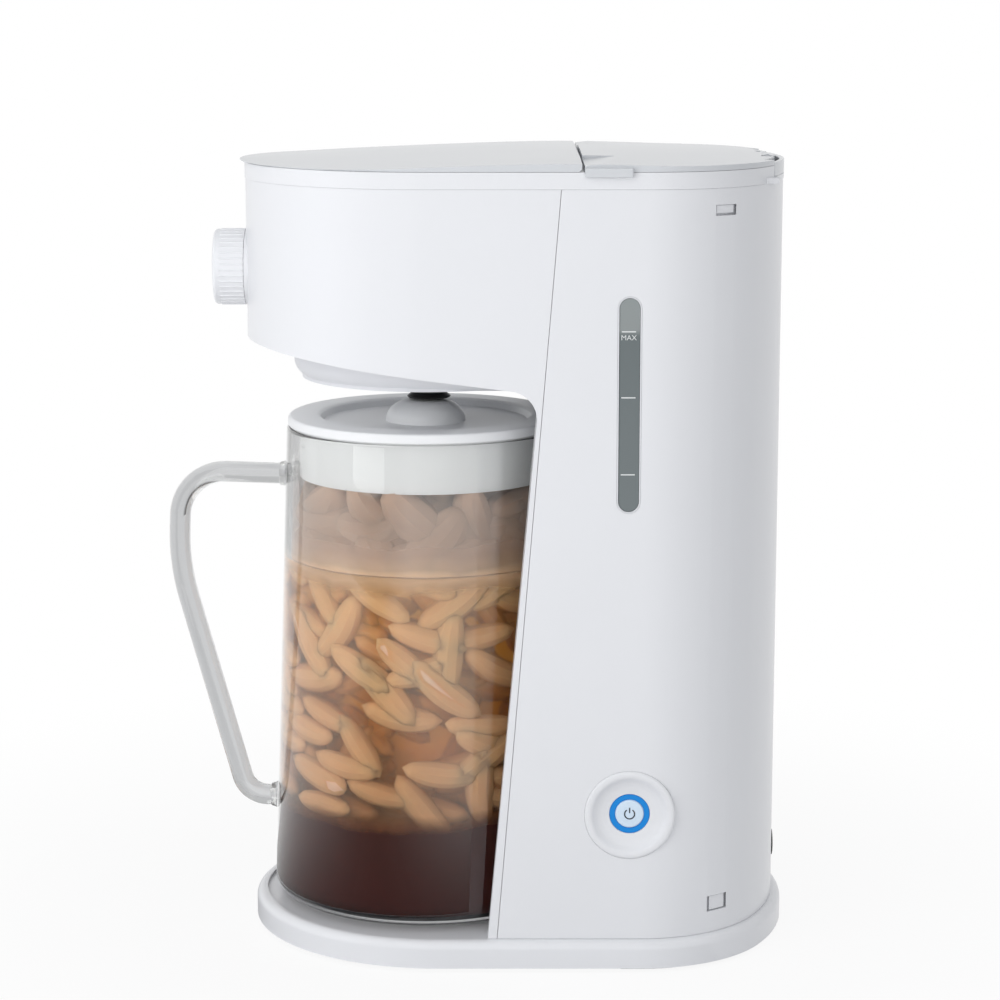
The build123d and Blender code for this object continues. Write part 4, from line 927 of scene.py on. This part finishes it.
@dataclass
class Controls:
    """The strength dial, the power button with its ring, and the level window.

    Attributes:
        symbol_radius: Radius of the power symbol's arc.
        sweep: How far round that arc goes, in degrees.
        stroke: Width of its stroke.
        text_size: Size of the word below the top mark.
        window_low: Height at which the window's shading starts.
        window_high: Height at which it ends.
    """

    symbol_radius: float = 2.1 * MM
    sweep: float = 290.0
    stroke: float = 0.5 * MM
    text_size: float = 3.0 * MM
    window_low: float = 196 * MM
    window_high: float = 288 * MM

    def build(self) -> None:
        """Build and dress every control."""
        dressed_copy("strength_dial", 0.12 * MM, WHITE)
        dressed_copy("button_bezel", 0.3 * MM, WHITE)
        dressed_copy("light_ring", 0.2 * MM, RING_BLUE)
        dressed_copy("power_button", 0.2 * MM, BUTTON_WHITE)
        dressed_copy("window_frame", 0.2 * MM, CUP_GREY)
        lens = dressed_copy("window_lens", 0.3 * MM)
        lens.data.materials.clear()
        lens.data.materials.append(self.lens_material())
        dress_nodes(MARK_WHITE, "level_marks")
        self.power_symbol()
        self.word()

    def lens_material(self) -> bpy.types.Material:
        """Make the level window: a satin lens painted dark grey as painted shade of the tank's dim inside,
        darker below the top mark and paler above it.
        """
        made, shader = new_material("level_lens", {"Roughness": 0.22})
        nodes = made.node_tree.nodes
        where = add(nodes, "TexCoord")
        split = add(nodes, "SeparateXYZ")
        span = add(nodes, "MapRange", {"From Min": self.window_low, "From Max": self.window_high})
        # Painted shade: the tank's dim inside, darker below the top mark and paler above it.
        colour = ramp(nodes, [
            Tone(0.0, (0.160, 0.185, 0.190)), Tone(0.40, (0.150, 0.175, 0.180)),
            Tone(0.81, (0.135, 0.160, 0.165)), Tone(0.835, (0.27, 0.295, 0.295)),
            Tone(1.0, (0.27, 0.30, 0.30)),
        ])
        wire(where, "Object", split, "Vector")
        wire(split, "Z", span, "Value")
        wire(span, "Result", colour, "Fac")
        wire(colour, "Color", shader, "Base Color")
        return made

    def power_symbol(self) -> None:
        """Lay the generic power sign on the button: an arc open at the top, and a short bar."""
        low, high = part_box("power_button")
        face, middle = high.x - 0.25 * MM, (low + high) / 2
        inner, outer = self.symbol_radius - self.stroke / 2, self.symbol_radius + self.stroke / 2
        section = [(inner, 0), (outer, 0), (outer, 0.3 * MM), (inner, 0.3 * MM), (inner, 0)]
        arc = turned("power_symbol", section, (0, 0, 0), Axis.X, steps=28, arc=math.radians(self.sweep))
        arc.rotation_euler = (math.radians((self.sweep - 360) / 2), 0, 0)
        arc.location = (face, middle.y, middle.z)
        pick(arc)
        bpy.ops.object.transform_apply(location=True, rotation=True)
        bpy.ops.mesh.primitive_cube_add(
            size=1.0, location=(face + 0.15 * MM, middle.y, middle.z + self.symbol_radius * 0.75),
            scale=(0.3 * MM, self.stroke, self.symbol_radius * 1.1),
        )
        bpy.ops.object.transform_apply(location=True, scale=True)
        arc.select_set(True)
        bpy.context.view_layer.objects.active = arc
        bpy.ops.object.join()
        dress(arc, SYMBOL)
        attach(arc, frame["nodes"]["power_button"]["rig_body"])
        LOG.info("%s and its bar lie on the button", arc.name)

    def word(self) -> None:
        """Print the generic word MAX below the window's top mark."""
        low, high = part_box("level_marks")
        deselect()
        bpy.ops.object.text_add(
            location=(high.x, (low.y + high.y) / 2, high.z - 1.3 * MM), rotation=(math.pi / 2, 0, math.pi / 2)
        )
        word = bpy.context.object
        word.name = "level_word"
        word.data.body = "MAX"
        word.data.size = self.text_size
        word.data.align_x = "CENTER"
        word.data.align_y = "TOP"
        word.data.extrude = 0.02 * MM
        pick(word)
        bpy.ops.object.convert(target="MESH")
        bpy.ops.object.transform_apply(location=True, rotation=True)
        dress(word, MARK_WHITE)
        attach(word, frame["nodes"]["level_marks"]["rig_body"])
        LOG.info("%s stands below the top mark", word.name)


@dataclass
class Works:
    """The pieces inside: brew cup, valve, water path, heater, switch and pins.

    Attributes:
        button_travel: How far the power button goes in; not used.
        valve_travel: How far the drip valve lifts; not used.
    """

    button_travel: float = 1.5 * MM
    valve_travel: float = 3.0 * MM

    def build(self) -> None:
        """Dress the cup and the inner pieces."""
        self.spring("button_spring", "button_press")
        self.spring("valve_spring", "drip_valve_lift")
        dressed_copy("underside_cover", 0.4 * MM, CUP_GREY)
        dressed_copy("drip_valve", 0.3 * MM, BLACK)
        dress_nodes(INNER_GREY, "brew_basket", "selector_box", "selector_disc", "dial_bush", "spray_head",
                    "terminal_block", "push_switch")
        dress_nodes(STEEL, "mesh_filter", "base_screws", "board_screws", "brew_lid_pin", "tank_lid_pin",
                    "dial_shaft", "heater_bracket", "thermostat")
        dress_nodes(SILICONE, "check_valve", "inlet_hose", "outlet_seal", "riser_tube", "thermal_fuses",
                    "valve_seat")
        dress_nodes(ALUMINIUM, "heater_tube")
        dress_nodes(BOARD_GREEN, "switch_board")
        dress_nodes(LENS, "water_tank")

    def spring(self, node: str, joint: str) -> None:
        """Copy a spring and give the copy its own mesh.

        Args:
            node: The spring's node.
            joint: The joint that presses it.
        """
        piece = dressed_copy(node, 0.05 * MM, STEEL, segments=1)
        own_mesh(piece)
        LOG.info("%s gives way to %s", piece.name, joint)


@dataclass
class Studio:
    """The plain floor, the pale surroundings, the soft lamps and the camera.

    Attributes:
        camera_at: The camera's place.
        pitch: How far it looks down, in degrees.
        lens: Focal length on a 36 mm sensor, in millimetres.
        daylight: Strength of the surroundings' light.
    """

    camera_at: Point = (1.239, 0.01004, 0.4192)
    pitch: float = 10.57
    lens: float = 103.18
    daylight: float = 0.55

    def build(self) -> None:
        """Set up the whole studio."""
        self.camera()
        self.floor()
        self.cards()
        self.surroundings()
        self.lamps()
        bpy.context.scene.view_settings.view_transform = "Standard"

    def camera(self) -> None:
        """Place the camera at the photograph's viewing angle."""
        deselect()
        bpy.ops.object.camera_add(
            location=self.camera_at, rotation=(math.radians(90 - self.pitch), 0, math.radians(90))
        )
        camera = bpy.context.object
        camera.data.lens = self.lens
        camera.data.sensor_width = 36.0
        camera.data.clip_end = 50.0
        bpy.context.scene.camera = camera

    def floor(self) -> None:
        """Lay the pale floor, white to the camera but still taking a faint shadow near the object."""
        deselect()
        bpy.ops.mesh.primitive_plane_add(size=16.0)
        piece = bpy.context.object
        piece.name = "studio_floor"
        made, shader = new_material("studio_floor", {"Base Color": (0.86, 0.86, 0.87, 1.0), "Roughness": 0.8})
        nodes = made.node_tree.nodes
        white = add(nodes, "Emission")
        where = add(nodes, "TexCoord")
        away = add(nodes, "VectorMath", operation="LENGTH")
        span = add(nodes, "MapRange", {
            "From Min": 120 * MM, "From Max": 450 * MM, "To Min": 0.9, "To Max": 1.0,
        }, interpolation_type="SMOOTHSTEP")
        share = add(nodes, "Math", operation="MULTIPLY")
        blend = add(nodes, "MixShader")
        wire(where, "Object", away, 0)
        wire(away, "Value", span, "Value")
        wire(span, "Result", share, 0)
        wire(self.seen(nodes), "Value", share, 1)
        wire(share, "Value", blend, "Fac")
        wire(shader, "BSDF", blend, 1)
        wire(white, "Emission", blend, 2)
        wire(blend, "Shader", nodes["Material Output"], "Surface")
        piece.data.materials.append(made)

    def cards(self) -> None:
        """Stand dark cards round the object, for the edges and soft reflections of the clear pieces."""
        upright, through, mirrored = math.pi / 2, "transmission", "glossy"
        self.card("card_left", (-1.0, -0.52, 0.3), (upright, 0, 1.17), (0.36, 1.4), through, 0.95)
        self.card("card_right", (-0.7, 0.9, 0.3), (upright, 0, 2.2), (1.1, 1.4), through, 0.95)
        self.card("card_front", (1.0, -0.84, 0.7), (upright, 0, 0.9), (1.5, 1.4), mirrored, 0.9)
        self.card("card_low", (0.55, -0.42, 2 * MM), (0, 0, 0.9), (0.7, 1.4), mirrored, 0.9)

    def card(self, name: str, place: Point, turn: Point, size: tuple[float, float], seen_by: str,
             strength: float) -> None:
        """Stand one dark card that only one kind of ray sees, fading out towards its two sides.

        Args:
            name: The card's name.
            place: Where its middle stands.
            turn: Its rotation, as XYZ angles.
            size: Its width and height before it is turned.
            seen_by: The one kind of ray that sees it, "glossy" or "transmission".
            strength: How opaque its middle is.
        """
        deselect()
        bpy.ops.mesh.primitive_plane_add(size=1.0, location=place, rotation=turn)
        card = bpy.context.object
        card.name = name
        card.scale = (*size, 1.0)
        made, shader = new_material(name, {"Base Color": (0.01, 0.01, 0.01, 1.0), "Roughness": 0.9})
        nodes = made.node_tree.nodes
        where = add(nodes, "TexCoord")
        split = add(nodes, "SeparateXYZ")
        aside = add(nodes, "Math", operation="ABSOLUTE")
        fade = add(nodes, "MapRange", {"From Max": 0.5, "To Min": strength, "To Max": 0.0},
                   interpolation_type="SMOOTHSTEP")
        wire(where, "Object", split, "Vector")
        wire(split, "X", aside, 0)
        wire(aside, "Value", fade, "Value")
        wire(fade, "Result", shader, "Alpha")
        card.data.materials.append(made)
        for ray in ("camera", "diffuse", "glossy", "transmission", "shadow"):
            setattr(card, f"visible_{ray}", ray == seen_by)

    def seen(self, nodes: bpy.types.Nodes) -> bpy.types.Node:
        """Give a factor that is 1 for the rays that show the background, straight or in a reflection.

        Args:
            nodes: The material's or world's nodes.

        Returns:
            The node whose Value is the factor.
        """
        path = add(nodes, "LightPath")
        mirrored = add(nodes, "Math", operation="SUBTRACT", use_clamp=True)
        either = add(nodes, "Math", operation="MAXIMUM")
        wire(path, "Is Glossy Ray", mirrored, 0)
        wire(path, "Is Transmission Ray", mirrored, 1)
        wire(path, "Is Camera Ray", either, 0)
        wire(mirrored, "Value", either, 1)
        return either

    def surroundings(self) -> None:
        """Make the world an even pale light, and white where it is seen."""
        world = bpy.data.worlds.new("studio")
        world.use_nodes = True
        nodes = world.node_tree.nodes
        light = nodes["Background"]
        light.inputs["Color"].default_value = (0.97, 0.98, 1.0, 1.0)
        light.inputs["Strength"].default_value = self.daylight
        white = add(nodes, "Background", {"Color": (1.0, 1.0, 1.0, 1.0)})
        blend = add(nodes, "MixShader")
        wire(self.seen(nodes), "Value", blend, "Fac")
        wire(light, "Background", blend, 1)
        wire(white, "Background", blend, 2)
        wire(blend, "Shader", nodes["World Output"], "Surface")
        bpy.context.scene.world = world

    def lamps(self) -> None:
        """Hang a key lamp left of the window side, a wide fill ahead and weak lamps low and above."""
        self.lamp("key_lamp", (0.62, -0.5, 0.55), (0.05, -0.03, 0.22), 0.7, 2.45)
        self.lamp("fill_lamp", (1.5, 0.15, 0.4), (0.05, 0.0, 0.2), 1.1, 3.3)
        self.lamp("low_lamp", (0.55, -0.6, 0.22), (0.0, -0.03, 0.2), 0.4, 0.75)
        self.lamp("top_lamp", (0.1, 0.1, 1.3), (0.0, 0.0, 0.3), 0.8, 0.2)

    def lamp(self, name: str, place: Point, aim: Point, size: float, power: float) -> None:
        """Add one area lamp.

        Args:
            name: The lamp's name.
            place: Where it hangs.
            aim: The point that it faces.
            size: Side of its square.
            power: Its power in watts.
        """
        turn = (Vector(aim) - Vector(place)).to_track_quat("-Z", "Y").to_euler()
        deselect()
        bpy.ops.object.light_add(type="AREA", location=place, rotation=turn)
        lamp = bpy.context.object
        lamp.name = name
        lamp.data.size = size
        lamp.data.energy = power
        lamp.visible_glossy = False


def main() -> None:
    """Build the studio and every sub-assembly, in order."""
    logging.basicConfig(level=logging.INFO, format="%(message)s")
    for part in (Studio(), Shells(), Controls(), Works(), Pitcher(), Drink()):
        LOG.info("building %s", type(part).__name__)
        part.build()


if __name__ == "__main__":
    main()
